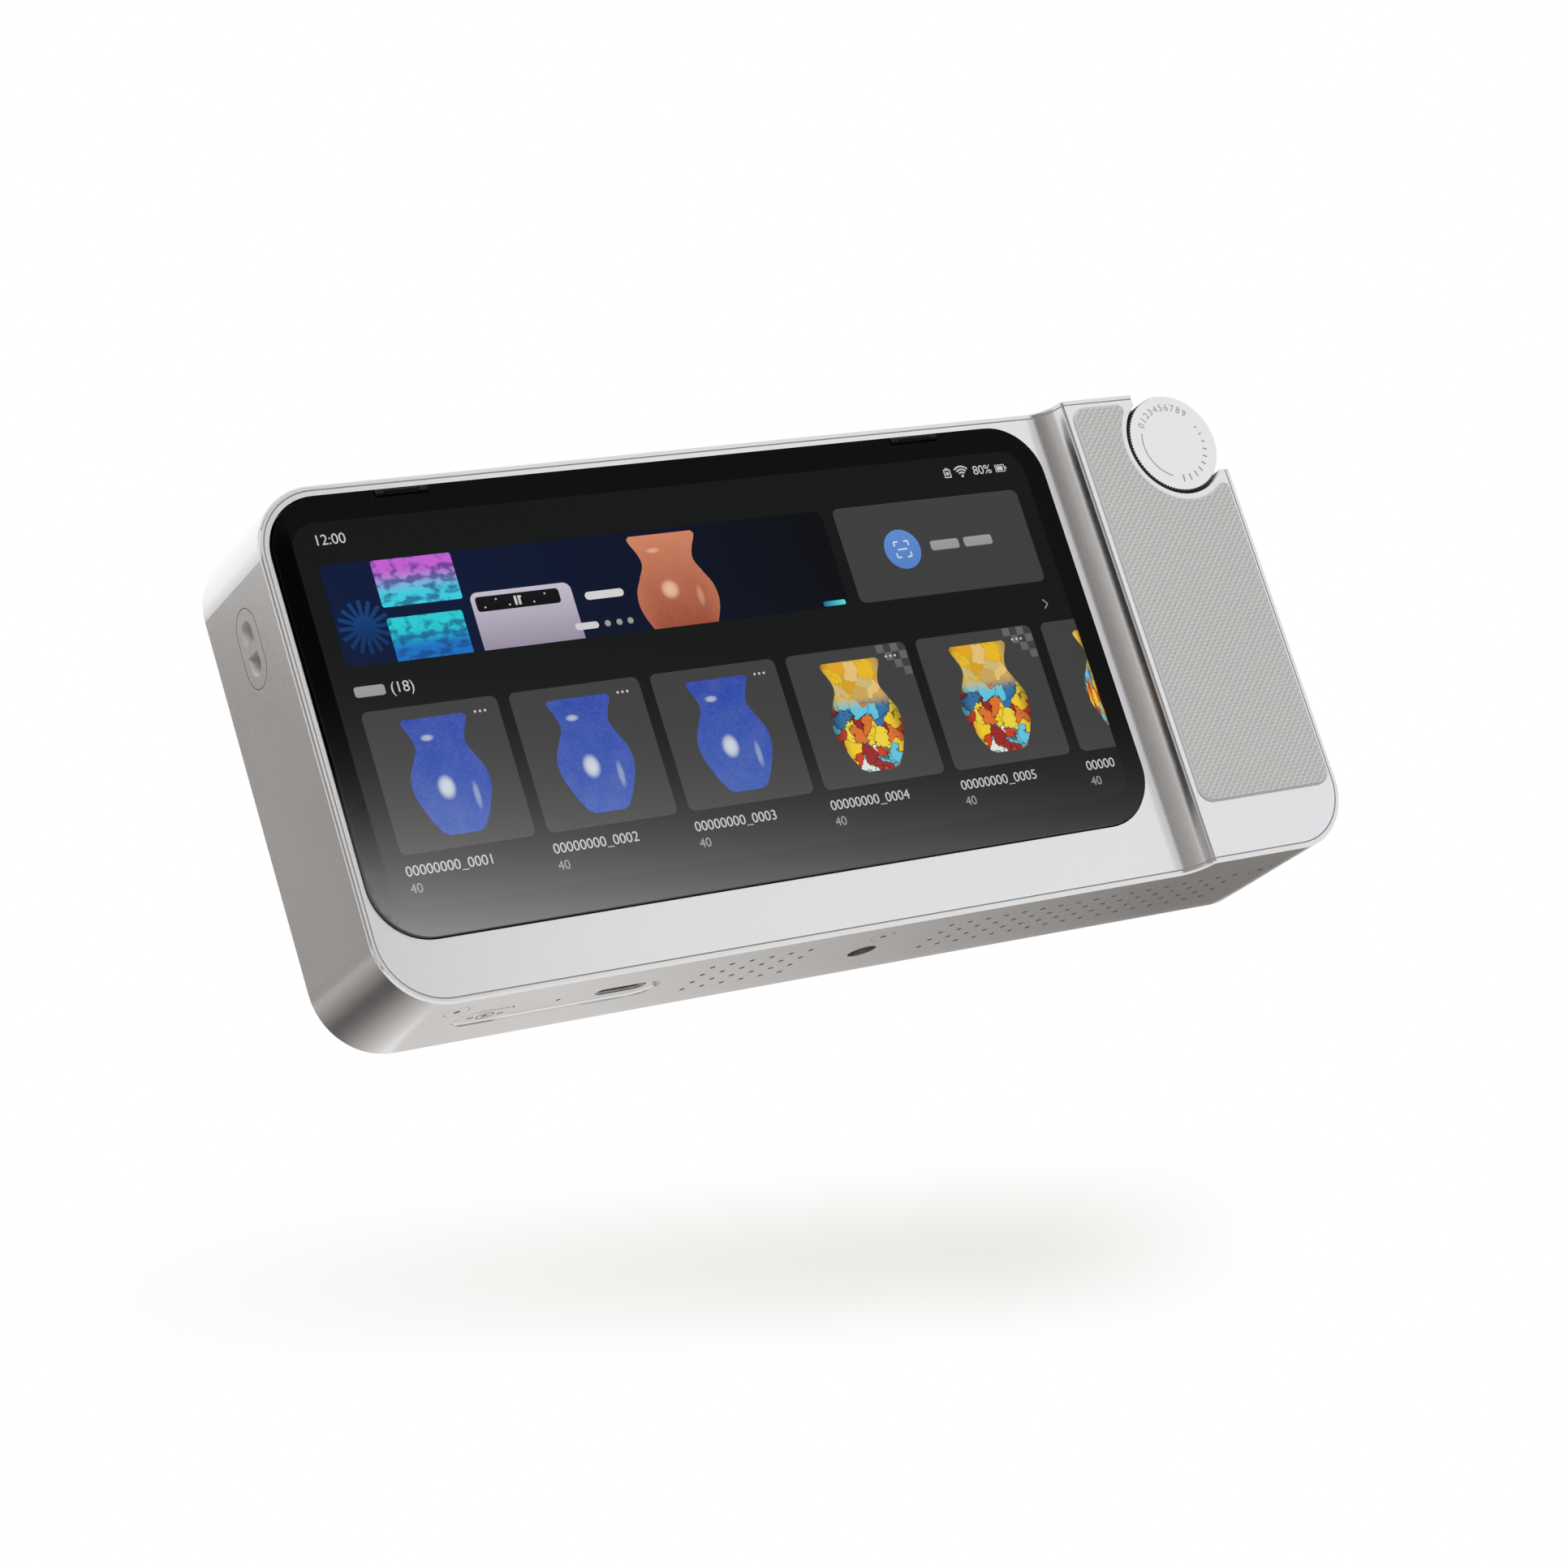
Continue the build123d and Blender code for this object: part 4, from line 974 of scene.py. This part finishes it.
# Grip pad
def front_loop(node):
    """Ordered outline of a node's front face, as points across and up."""
    shape = bmesh.new()
    shape.from_mesh(nodes[node].data)
    bmesh.ops.remove_doubles(shape, verts=shape.verts, dist=0.001 * mm)
    front = {face for face in shape.faces if face.normal.y < -0.9}
    edges = [e for e in shape.edges if sum(f in front for f in e.link_faces) == 1]
    beside = {}
    for edge in edges:
        a, b = edge.verts
        beside.setdefault(a, []).append(b)
        beside.setdefault(b, []).append(a)
    start = edges[0].verts[0]
    loop, before = [start], None
    while True:
        onward = [vert for vert in beside[loop[-1]] if vert is not before]
        before = loop[-1]
        if onward[0] is start:
            break
        loop.append(onward[0])
    points = [(vert.co.x, vert.co.z) for vert in loop]
    shape.free()
    return points


def inward(points, distance):
    """An outline drawn in along its own normals."""
    area = sum(a[0] * b[1] - b[0] * a[1] for a, b in zip(points, points[1:] + points[:1]))
    turn = 1 if area > 0 else -1
    drawn = []
    for number, here in enumerate(points):
        back = Vector(points[number - 1])
        ahead = Vector(points[(number + 1) % len(points)])
        first = (Vector(here) - back).normalized()
        second = (ahead - Vector(here)).normalized()
        along = (first + second).normalized()
        stretch = 1 / max(0.5, along.dot(first))
        normal = Vector((-along.y, along.x)) * turn
        drawn.append(tuple(Vector(here) + normal * distance * stretch))
    return drawn


def prism(name, rings):
    """A closed piece through rings of points, each with its depth."""
    shape = bmesh.new()
    made = [[shape.verts.new((x, y, z)) for x, z in points] for points, y in rings]
    shape.faces.new(made[0])
    shape.faces.new(made[-1][::-1])
    for near, far in zip(made, made[1:]):
        join_rings(shape, near, far)
    return piece_from(shape, name)


def point_field(name, ground_y, tip_y, floor_y):
    """A sheet of four-sided points over the pad's whole box, closed at the back."""
    shape = bmesh.new()
    columns = int((pad_high.x - pad_low.x) / point_half) + 4
    rows = int((pad_high.z - pad_low.z) / point_half) + 4
    grid = {}
    for i in range(columns):
        for j in range(rows):
            y = tip_y if (i + j) % 2 else ground_y
            x = pad_low.x + (i - 1.5) * point_half
            z = pad_low.z + (j - 1.5) * point_half
            grid[i, j] = shape.verts.new((x, y, z))
    for i in range(1, columns - 1):
        for j in range(1, rows - 1):
            if (i + j) % 2:
                ring = [grid[i + 1, j], grid[i, j + 1], grid[i - 1, j], grid[i, j - 1]]
                for near, far in zip(ring, ring[1:] + ring[:1]):
                    shape.faces.new((grid[i, j], near, far))
    loose = [vert for vert in shape.verts if not vert.link_faces]
    bmesh.ops.delete(shape, geom=loose, context="VERTS")
    made = bmesh.ops.extrude_face_region(shape, geom=shape.faces[:])
    for item in made["geom"]:
        if isinstance(item, bmesh.types.BMVert):
            item.co.y = floor_y
    return piece_from(shape, name)


def textured_pad():
    """Slab with a rounded lip, and the points clipped to its top."""
    outline = front_loop("grip_pad")
    back_y, tip_y = pad_high.y, pad_low.y
    ground_y = back_y - pad_ground
    rings = [(outline, back_y)]
    lip_steps = 5
    for step in range(lip_steps + 1):
        turn = pi / 2 * step / lip_steps
        depth = ground_y + (1 - sin(turn)) * pad_ground / 2
        rings.append((inward(outline, pad_lip * (1 - cos(turn))), depth))
    slab = prism("grip_pad_slab", rings)
    inner = inward(outline, points_inset)
    knife = prism("point_knife", [(inner, tip_y - pad_ground), (inner, back_y - pad_ground / 2)])
    points = point_field("grip_pad_points", ground_y - layer_step, tip_y, back_y)
    clip = points.modifiers.new("clip", "BOOLEAN")
    clip.operation = "INTERSECT"
    clip.object = knife
    clip.solver = "EXACT"
    view = bpy.context.evaluated_depsgraph_get()
    points.data = bpy.data.meshes.new_from_object(points.evaluated_get(view))
    points.modifiers.clear()
    bpy.data.objects.remove(knife)
    for piece in (slab, points):
        piece.data.materials.clear()
        piece.data.materials.append(finishes["grip_rubber"])
        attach(piece, "body")
    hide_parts("grip_pad")


# Hairline seams between the housing and its two covers
def seam_outline(steps):
    """Seam line from the top edge round by the left, as points with their outward directions."""
    left, right = body_low.x + body_radius, body_high.x - body_radius
    low, high = body_low.z + body_radius, body_high.z - body_radius
    radius = body_radius - seam_inset
    line = []
    for x, z, start in ((left, high, 90), (left, low, 180), (right, low, 270), (right, high, 0)):
        for step in range(steps + 1):
            turn = radians(start + 90 * step / steps)
            out = Vector((cos(turn), 0, sin(turn)))
            line.append((Vector((x, 0, z)) + out * radius, out))
    return line


def front_surface(x):
    """Depth of the front at a place across it, and the direction out of the surface."""
    share = min(max((x - ramp_start) / ramp_radius, 0.0), 1.0)
    if share in (0.0, 1.0):
        return plateau_y + ramp_radius * (1 - share), Vector((0, -1, 0))
    fall = sqrt(1 - share * share)
    return plateau_y + ramp_radius * fall, Vector((-share, -fall, 0))


def strip(name, stations, section, closed, paint):
    """A small four-sided strip along stations of a point, its side direction and the way down.
    The section is its reach across (low, high) and down (low, high)."""
    near, far, top, deep = section
    spots = [(near, top), (far, top), (far, deep), (near, deep)]
    shape = bmesh.new()
    rings = []
    for point, side, down in stations:
        rings.append([shape.verts.new(point + side * across + down * under) for across, under in spots])
    for here, after in zip(rings, rings[1:]):
        join_rings(shape, here, after)
    if closed:
        join_rings(shape, rings[-1], rings[0])
    else:
        shape.faces.new(rings[0])
        shape.faces.new(rings[-1][::-1])
    return piece_from(shape, name, paint)


def hairline_seams():
    """Grey strips that lie just under the surface in both seams, painted shade that stands for the seams'
    shaded gaps.
    """
    # Mid-grey strip colour: painted seam shade
    paint = moulded("painted_seam_shade", linear(150, 150, 150), 0.6, 0.0)
    section = (-seam_half, seam_half, seam_top, seam_deep)
    line = seam_outline(arc_steps)
    corner = arc_steps + 1
    back = [(Vector((p.x, body_high.y, p.z)), out, Vector((0, -1, 0))) for p, out in line]
    seam_shades = [strip("back_seam", back, section, True, paint)]
    ramp_steps = 24
    across = [ramp_start + ramp_radius * step / ramp_steps for step in range(ramp_steps + 1)]
    top, bottom = line[0][0].z, line[2 * corner - 1][0].z
    up, down = Vector((0, 0, 1)), Vector((0, 0, -1))
    first = Vector((knob_x - notch_half - notch_clear, 0, top))
    last = Vector((body_high.x - seam_inset, 0, knob_z - notch_half - notch_clear))
    path = [(first, up)] + [(Vector((x, 0, top)), up) for x in reversed(across)]
    path += line[: 2 * corner] + [(Vector((x, 0, bottom)), down) for x in across]
    path += line[2 * corner : 3 * corner] + [(last, Vector((1, 0, 0)))]
    stations = []
    for point, side in path:
        y, out = front_surface(point.x)
        stations.append((Vector((point.x, y, point.z)), side, -out))
    seam_shades.append(strip("front_seam", stations, section, False, paint))
    for seam_shade in seam_shades:
        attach(seam_shade, "body")


def bezel_shade():
    """Painted shade on the left border of the cover glass: a dark film that dims its reflection there,
    fading out at both ends.
    """
    material, tree, shader = blank("bezel_shade")
    cloud = use(tree, surface_grain, Grain_Scale=900.0, Cloud_Scale=60.0)["Cloud"]
    # Near-black film colour: painted shade that dims the bezel's reflection
    ink = mix(tree, cloud, (0.0002, 0.0003, 0.0006, 1.0), (0.0004, 0.0006, 0.001, 1.0))
    give(shader, {"Base Color": ink, "Roughness": 0.3, "Specular IOR Level": 0.0})
    height = axes(tree, "Generated")["Z"]
    rise = spread(tree, height, 0.04, 0.58, 0.0, 0.33)
    fade = spread(tree, height, 0.9, 1.0, 1.0, 0.0)
    give(shader, {"Alpha": calc(tree, "MULTIPLY", rise, fade)})
    inset, gap = 0.15, 0.02
    width = (glass_high.x - glass_low.x) / mm - 2 * inset
    tall = (glass_high.z - glass_low.z) / mm - 2 * inset
    outline = rounded_box(inset - lit_left, inset - lit_low, width, tall, glass_radius / mm - inset)
    on_screen("bezel_shade", [cut(outline, 0, -gap, True)], 0, material)


def anchor_seam():
    """Dark hairline round the strap anchor's face."""
    dark = moulded("anchor_seam", linear(84, 82, 80), 0.6, 0.0)
    middle = (anchor_low + anchor_high) / 2
    reach = anchor_half_length - anchor_half_width

    def side_point(u, v, out):
        return Vector((anchor_low.x + seam_top - out, middle.y + u, middle.z + v))

    def ring(radius):
        turns = [pi * step / arc_steps for step in range(arc_steps + 1)]
        top = [(radius * cos(turn), reach + radius * sin(turn)) for turn in turns]
        return top + [(-u, -v) for u, v in top]

    outer, inner = ring(anchor_half_width + anchor_line), ring(anchor_half_width - anchor_line)
    count = len(outer)
    tiles = [[outer[n], outer[(n + 1) % count], inner[(n + 1) % count], inner[n]] for n in range(count)]
    piece = thin_plates("anchor_seam", tiles, side_point, seam_top + print_thickness / 4, dark)
    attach(piece, "body")


# Marks on the knob, the start key and the projector
def engraved_paint(name, colour):
    """Laser-marked grey in the metal's own grain."""
    return moulded(name, colour, 0.5, 0.0)


def knob_point(u, v, out):
    """Placer for points on the knob's face, from its middle."""
    return Vector((knob_x + u, knob_low.y - out, knob_z + v))


def knob_marks():
    """Numbers and ticks round the face, and the plain arc of the dial."""
    paint = engraved_paint("laser_grey", linear(164, 164, 165))
    for number in range(mark_count):
        angle = radians(number_start - number_pitch * number)
        piece = number_text(f"dial_number_{number}", str(number), mark_tall, paint)
        piece.data.align_x = "CENTER"
        turn = Matrix.Rotation(pi / 2, 4, "X") @ Matrix.Rotation(angle - pi / 2, 4, "Z")
        spot = knob_point(mark_radius * cos(angle), mark_radius * sin(angle), print_thickness / 2)
        piece.matrix_world = Matrix.Translation(spot) @ turn
        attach(piece, "knob")
    marks = []
    near = mark_radius - mark_tall / 2
    for number in range(mark_count):
        angle = radians(tick_start - tick_pitch * number)
        far = near + mark_tall * (tick_least + (1 - tick_least) * number / (mark_count - 1))
        out = Vector((cos(angle), sin(angle)))
        marks.append(stroke(out * near, out * far, tick_width))
    marks.append(arc_band(0, 0, dial_radius, dial_width, dial_start, dial_end))
    piece = thin_plates("dial_marks", marks, knob_point, print_thickness, paint)
    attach(piece, "knob")


def start_mark():
    """Plain ring and triangle on the start key, with two bars on each side."""
    paint = engraved_paint("key_grey", linear(96, 94, 92))
    middle = (button_low + button_high) / 2

    def key_point(u, v, out):
        return Vector((middle.x + u, middle.y - v, button_low.z - out))

    corners = [(-triangle_back, triangle_wing), (-triangle_back, -triangle_wing)]
    marks = [[(triangle_side, 0.0)] + corners]
    marks += [arc_band(0, 0, ring_radius, ring_width, start, start + ring_sweep) for start in ring_starts]
    marks += [stroke((u, -bar_half), (u, bar_half), bar_width) for u in bar_places]
    piece = thin_plates("start_mark", marks, key_point, print_thickness, paint)
    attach(piece, "start_key")


def projector_bars():
    """Two pale bars of the pattern projector behind the window."""
    pale = lamp_plastic("projector_pale", (0.8, 0.8, 0.82, 1.0), 3.0)
    middle = (lens_low + lens_high) / 2

    def lens_point(u, v, out):
        return Vector((middle.x - u, lens_high.y + out, middle.z + v))

    low, size = -projector_tall / 2, (projector_wide, projector_tall, projector_radius)
    lefts = (projector_gap / 2, -projector_gap / 2 - projector_wide)
    bars = [rounded_box(left, low, *size) for left in lefts]
    piece = thin_plates("projector_bars", bars, lens_point, print_thickness, pale)
    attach(piece, "body")


# Studio: camera, floor, light
def photo_camera():
    """Camera at the photograph's viewpoint."""
    data = bpy.data.cameras.new("photo_camera")
    data.angle = camera_angle
    data.clip_start = 0.01
    data.clip_end = 30.0
    camera = in_scene("photo_camera", data)
    columns = Matrix((camera_right, camera_up, -camera_aim)).transposed()
    camera.matrix_world = Matrix.Translation(camera_place) @ columns.to_4x4()
    bpy.context.scene.camera = camera


def sheet(name, centre, across, up, paint, hidden_from):
    """A flat stage sheet spanned by two half sides, which some kinds of rays don't see."""
    corners = [centre - across - up, centre + across - up, centre + across + up, centre - across + up]
    mesh = bpy.data.meshes.new(name)
    mesh.from_pydata(corners, [], [(0, 1, 2, 3)])
    for corner, spot in zip(mesh.uv_layers.new(name="sheet_map").data, ((0, 0), (1, 0), (1, 1), (0, 1))):
        corner.uv = spot
    mesh.materials.append(paint)
    piece = in_scene(name, mesh)
    piece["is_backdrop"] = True
    for ray in hidden_from:
        setattr(piece, "visible_" + ray, False)


def set_surface(tree, surface):
    """Takes another shader than the Principled one to the output."""
    tree.links.new(surface, tree.nodes["Material Output"].inputs["Surface"])


def pale_floor():
    """Floor that shows from above only, so that it never hides the underside."""
    material, tree, shader = blank("pale_floor")
    cloud = use(tree, surface_grain, Grain_Scale=400.0, Cloud_Scale=2.0)["Cloud"]
    tone = mix(tree, cloud, (0.82, 0.82, 0.815, 1.0), (0.85, 0.85, 0.845, 1.0))
    give(shader, {"Base Color": tone, "Roughness": 0.8})
    clear = place(tree, "BsdfTransparent").outputs[0]
    back = place(tree, "NewGeometry").outputs["Backfacing"]
    spot = place(tree, "TexCoord").outputs["Object"]
    far = place(tree, "VectorMath", {0: spot}, operation="LENGTH").outputs["Value"]
    gone = calc(tree, "MAXIMUM", back, spread(tree, far, floor_solid, floor_end, 0.0, 1.0))
    set_surface(tree, place(tree, "MixShader", {0: gone, 1: shader.outputs[0], 2: clear}).outputs[0])
    across, up = Vector((floor_end, 0, 0)), Vector((0, floor_end, 0))
    hidden_from = ("diffuse", "glossy", "transmission", "shadow")
    sheet("pale_floor", Vector((0, 0, -floor_gap)), across, up, material, hidden_from)


def hover_shadow():
    """Soft shade under the hovering body, as a faint tint in a clear film below the floor."""
    material, tree, shader = blank("hover_shade")
    spot = axes(tree, "UV")
    ridge = calc(tree, "ADD", 0.414, calc(tree, "MULTIPLY", spot["X"], 0.213))
    depth = spread(tree, away(tree, spot["Y"], ridge), 0.0, 0.34, 1.0, 0.0)
    depth = calc(tree, "MULTIPLY", depth, spread(tree, spot["X"], -0.1, 0.75, 0.0, 1.0))
    depth = calc(tree, "MULTIPLY", depth, spread(tree, spot["X"], 0.76, 1.0, 1.0, 0.0))
    colour = mix(tree, depth, white, linear(236, 235, 231))
    set_surface(tree, place(tree, "BsdfTransparent", {"Color": colour}).outputs[0])
    tree.nodes.remove(shader)
    aside = camera_right * -shade_left - camera_up * shade_down
    middle = camera_place + (camera_aim + aside) * shade_far
    across, up = camera_right * shade_half_width * shade_far, camera_up * shade_half_height * shade_far
    sheet("hover_shade", middle, across, up, material, ("diffuse", "glossy", "transmission", "shadow"))


def flag(name, centre, across, up, tone, end_tone=None, strength=1.0):
    """A card outside the picture that only reflections see.
    It has one tone, or runs from one to another along its width."""
    material, tree, shader = blank(name + "_tone")
    colour = mix(tree, axes(tree, "UV")["X"], tone, end_tone) if end_tone else tone
    set_surface(tree, place(tree, "Emission", {"Color": colour, "Strength": strength}).outputs[0])
    tree.nodes.remove(shader)
    hidden_from = ("camera", "diffuse", "transmission", "shadow")
    sheet(name, Vector(centre), Vector(across), Vector(up), material, hidden_from)


def area_lamp(name, spot, aim, size, power):
    """A soft square lamp that reflections don't show."""
    data = bpy.data.lights.new(name, "AREA")
    data.size = size
    data.energy = power
    lamp = in_scene(name, data)
    lamp.location = spot
    lamp.rotation_euler = (Vector(aim) - Vector(spot)).to_track_quat("-Z", "Y").to_euler()
    lamp.visible_glossy = False
    return lamp


def screen_haze():
    """Window light that only the screen picks up, low and to its left."""
    lamp = area_lamp("haze_lamp", haze_spot, haze_aim, haze_width, haze_power)
    data = lamp.data
    data.shape = "RECTANGLE"
    data.size_y = haze_height
    data.use_nodes = True
    tree = data.node_tree
    spot = place(tree, "SeparateXYZ", {0: place(tree, "NewGeometry").outputs["Parametric"]}).outputs
    fall = weighted(tree, spot["X"], 0.48, spot["Y"], 0.93)
    left = calc(tree, "SUBTRACT", 1.0, fall, clamp=True)
    give(tree.nodes["Emission"], {"Strength": calc(tree, "POWER", left, 3.7)})
    lamp.visible_glossy = True
    lamp.visible_diffuse = False
    lit = bpy.data.collections.new("hazed_pieces")
    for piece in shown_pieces():
        if body_of(piece) == ["screen"]:
            lit.objects.link(piece)
    lamp.light_linking.receiver_collection = lit


def white_room():
    """World that is white to the eye and in reflections, and a softer light on matt surfaces."""
    world = bpy.data.worlds.new("white_room")
    bpy.context.scene.world = world
    world.use_nodes = True
    tree = world.node_tree
    path = place(tree, "LightPath").outputs
    seen = calc(tree, "MAXIMUM", path["Is Camera Ray"], path["Is Glossy Ray"])
    seen = calc(tree, "MAXIMUM", seen, path["Is Transmission Ray"])
    strength = calc(tree, "ADD", 0.6, calc(tree, "MULTIPLY", seen, 0.4))
    give(tree.nodes["Background"], {"Strength": strength, "Color": white})


def reflected_cards():
    """Cards that give the metal its gradients. Each has its middle and its half sides, in metres."""
    middling, half = (0.30, 0.275, 0.257, 1.0), (0.6, 0.565, 0.535, 1.0)
    dusk, pale = (0.05, 0.045, 0.042, 1.0), (0.84, 0.805, 0.78, 1.0)
    shade, low = (0.205, 0.183, 0.168, 1.0), (0.23, 0.214, 0.2, 1.0)
    dim, warm = (0.43, 0.388, 0.36, 1.0), (0.74, 0.708, 0.69, 1.0)
    bright = (0.99, 1.0, 1.02, 1.0)
    flag("flag_back_left", (-0.8, 0.9, 0.27), (0.4, 0, 0), (0, 0, 0.17), middling)
    flag("flag_back_left_low", (-0.8, 0.9, -0.1), (0, 0, -0.2), (0.4, 0, 0), half, dusk)
    flag("flag_back_low_left", (-0.825, 0.9, -0.65), (0.375, 0, 0), (0, 0, 0.35), dusk)
    flag("flag_back_low", (-0.125, 0.9, -0.585), (0.325, 0, 0), (0, 0, 0.415), dusk, pale)
    flag("flag_low_left", (-0.048, 0.05, -0.0315), (0.018, 0, 0), (0, 0, 0.03), warm)
    flag("flag_low", (0.035, 0.05, -0.0315), (0.065, 0, 0), (0, 0, 0.03), warm, low)
    flag("flag_low_right", (0.175, 0.05, -0.0315), (0.075, 0, 0), (0, 0, 0.03), low)
    flag("card_low_back", (0.097, 0.033, -0.0004), (0.163, 0, 0), (0, 0.0185, 0), bright)
    flag("card_low_right", (0.178, -0.008, -0.0004), (0.082, 0, 0), (0, 0.0225, 0), bright)
    flag("flag_front", (-0.635, -1.0, 0.44), (0.965, 0, 0), (0, 0, 0.36), dim, shade)
    flag("flag_front_left", (-1.6, -0.55, 0.4), (0, 0.45, 0), (0, 0, 0.58), dim, half)
    flag("card_back_high", (0.02, 0.9, 0.64), (0.45, 0, 0), (0, 0, 0.14), bright, strength=1.2)


def studio():
    """Everything round the part."""
    photo_camera()
    pale_floor()
    white_room()
    hover_shadow()
    reflected_cards()
    area_lamp("key_lamp", key_spot, lamp_aim, key_size, key_power)
    area_lamp("top_lamp", top_spot, lamp_aim, top_size, top_power)
    screen_haze()
    bpy.context.scene.view_settings.view_transform = "Standard"


lit_screen()
textured_pad()
hairline_seams()
bezel_shade()
anchor_seam()
knob_marks()
start_mark()
projector_bars()
studio()
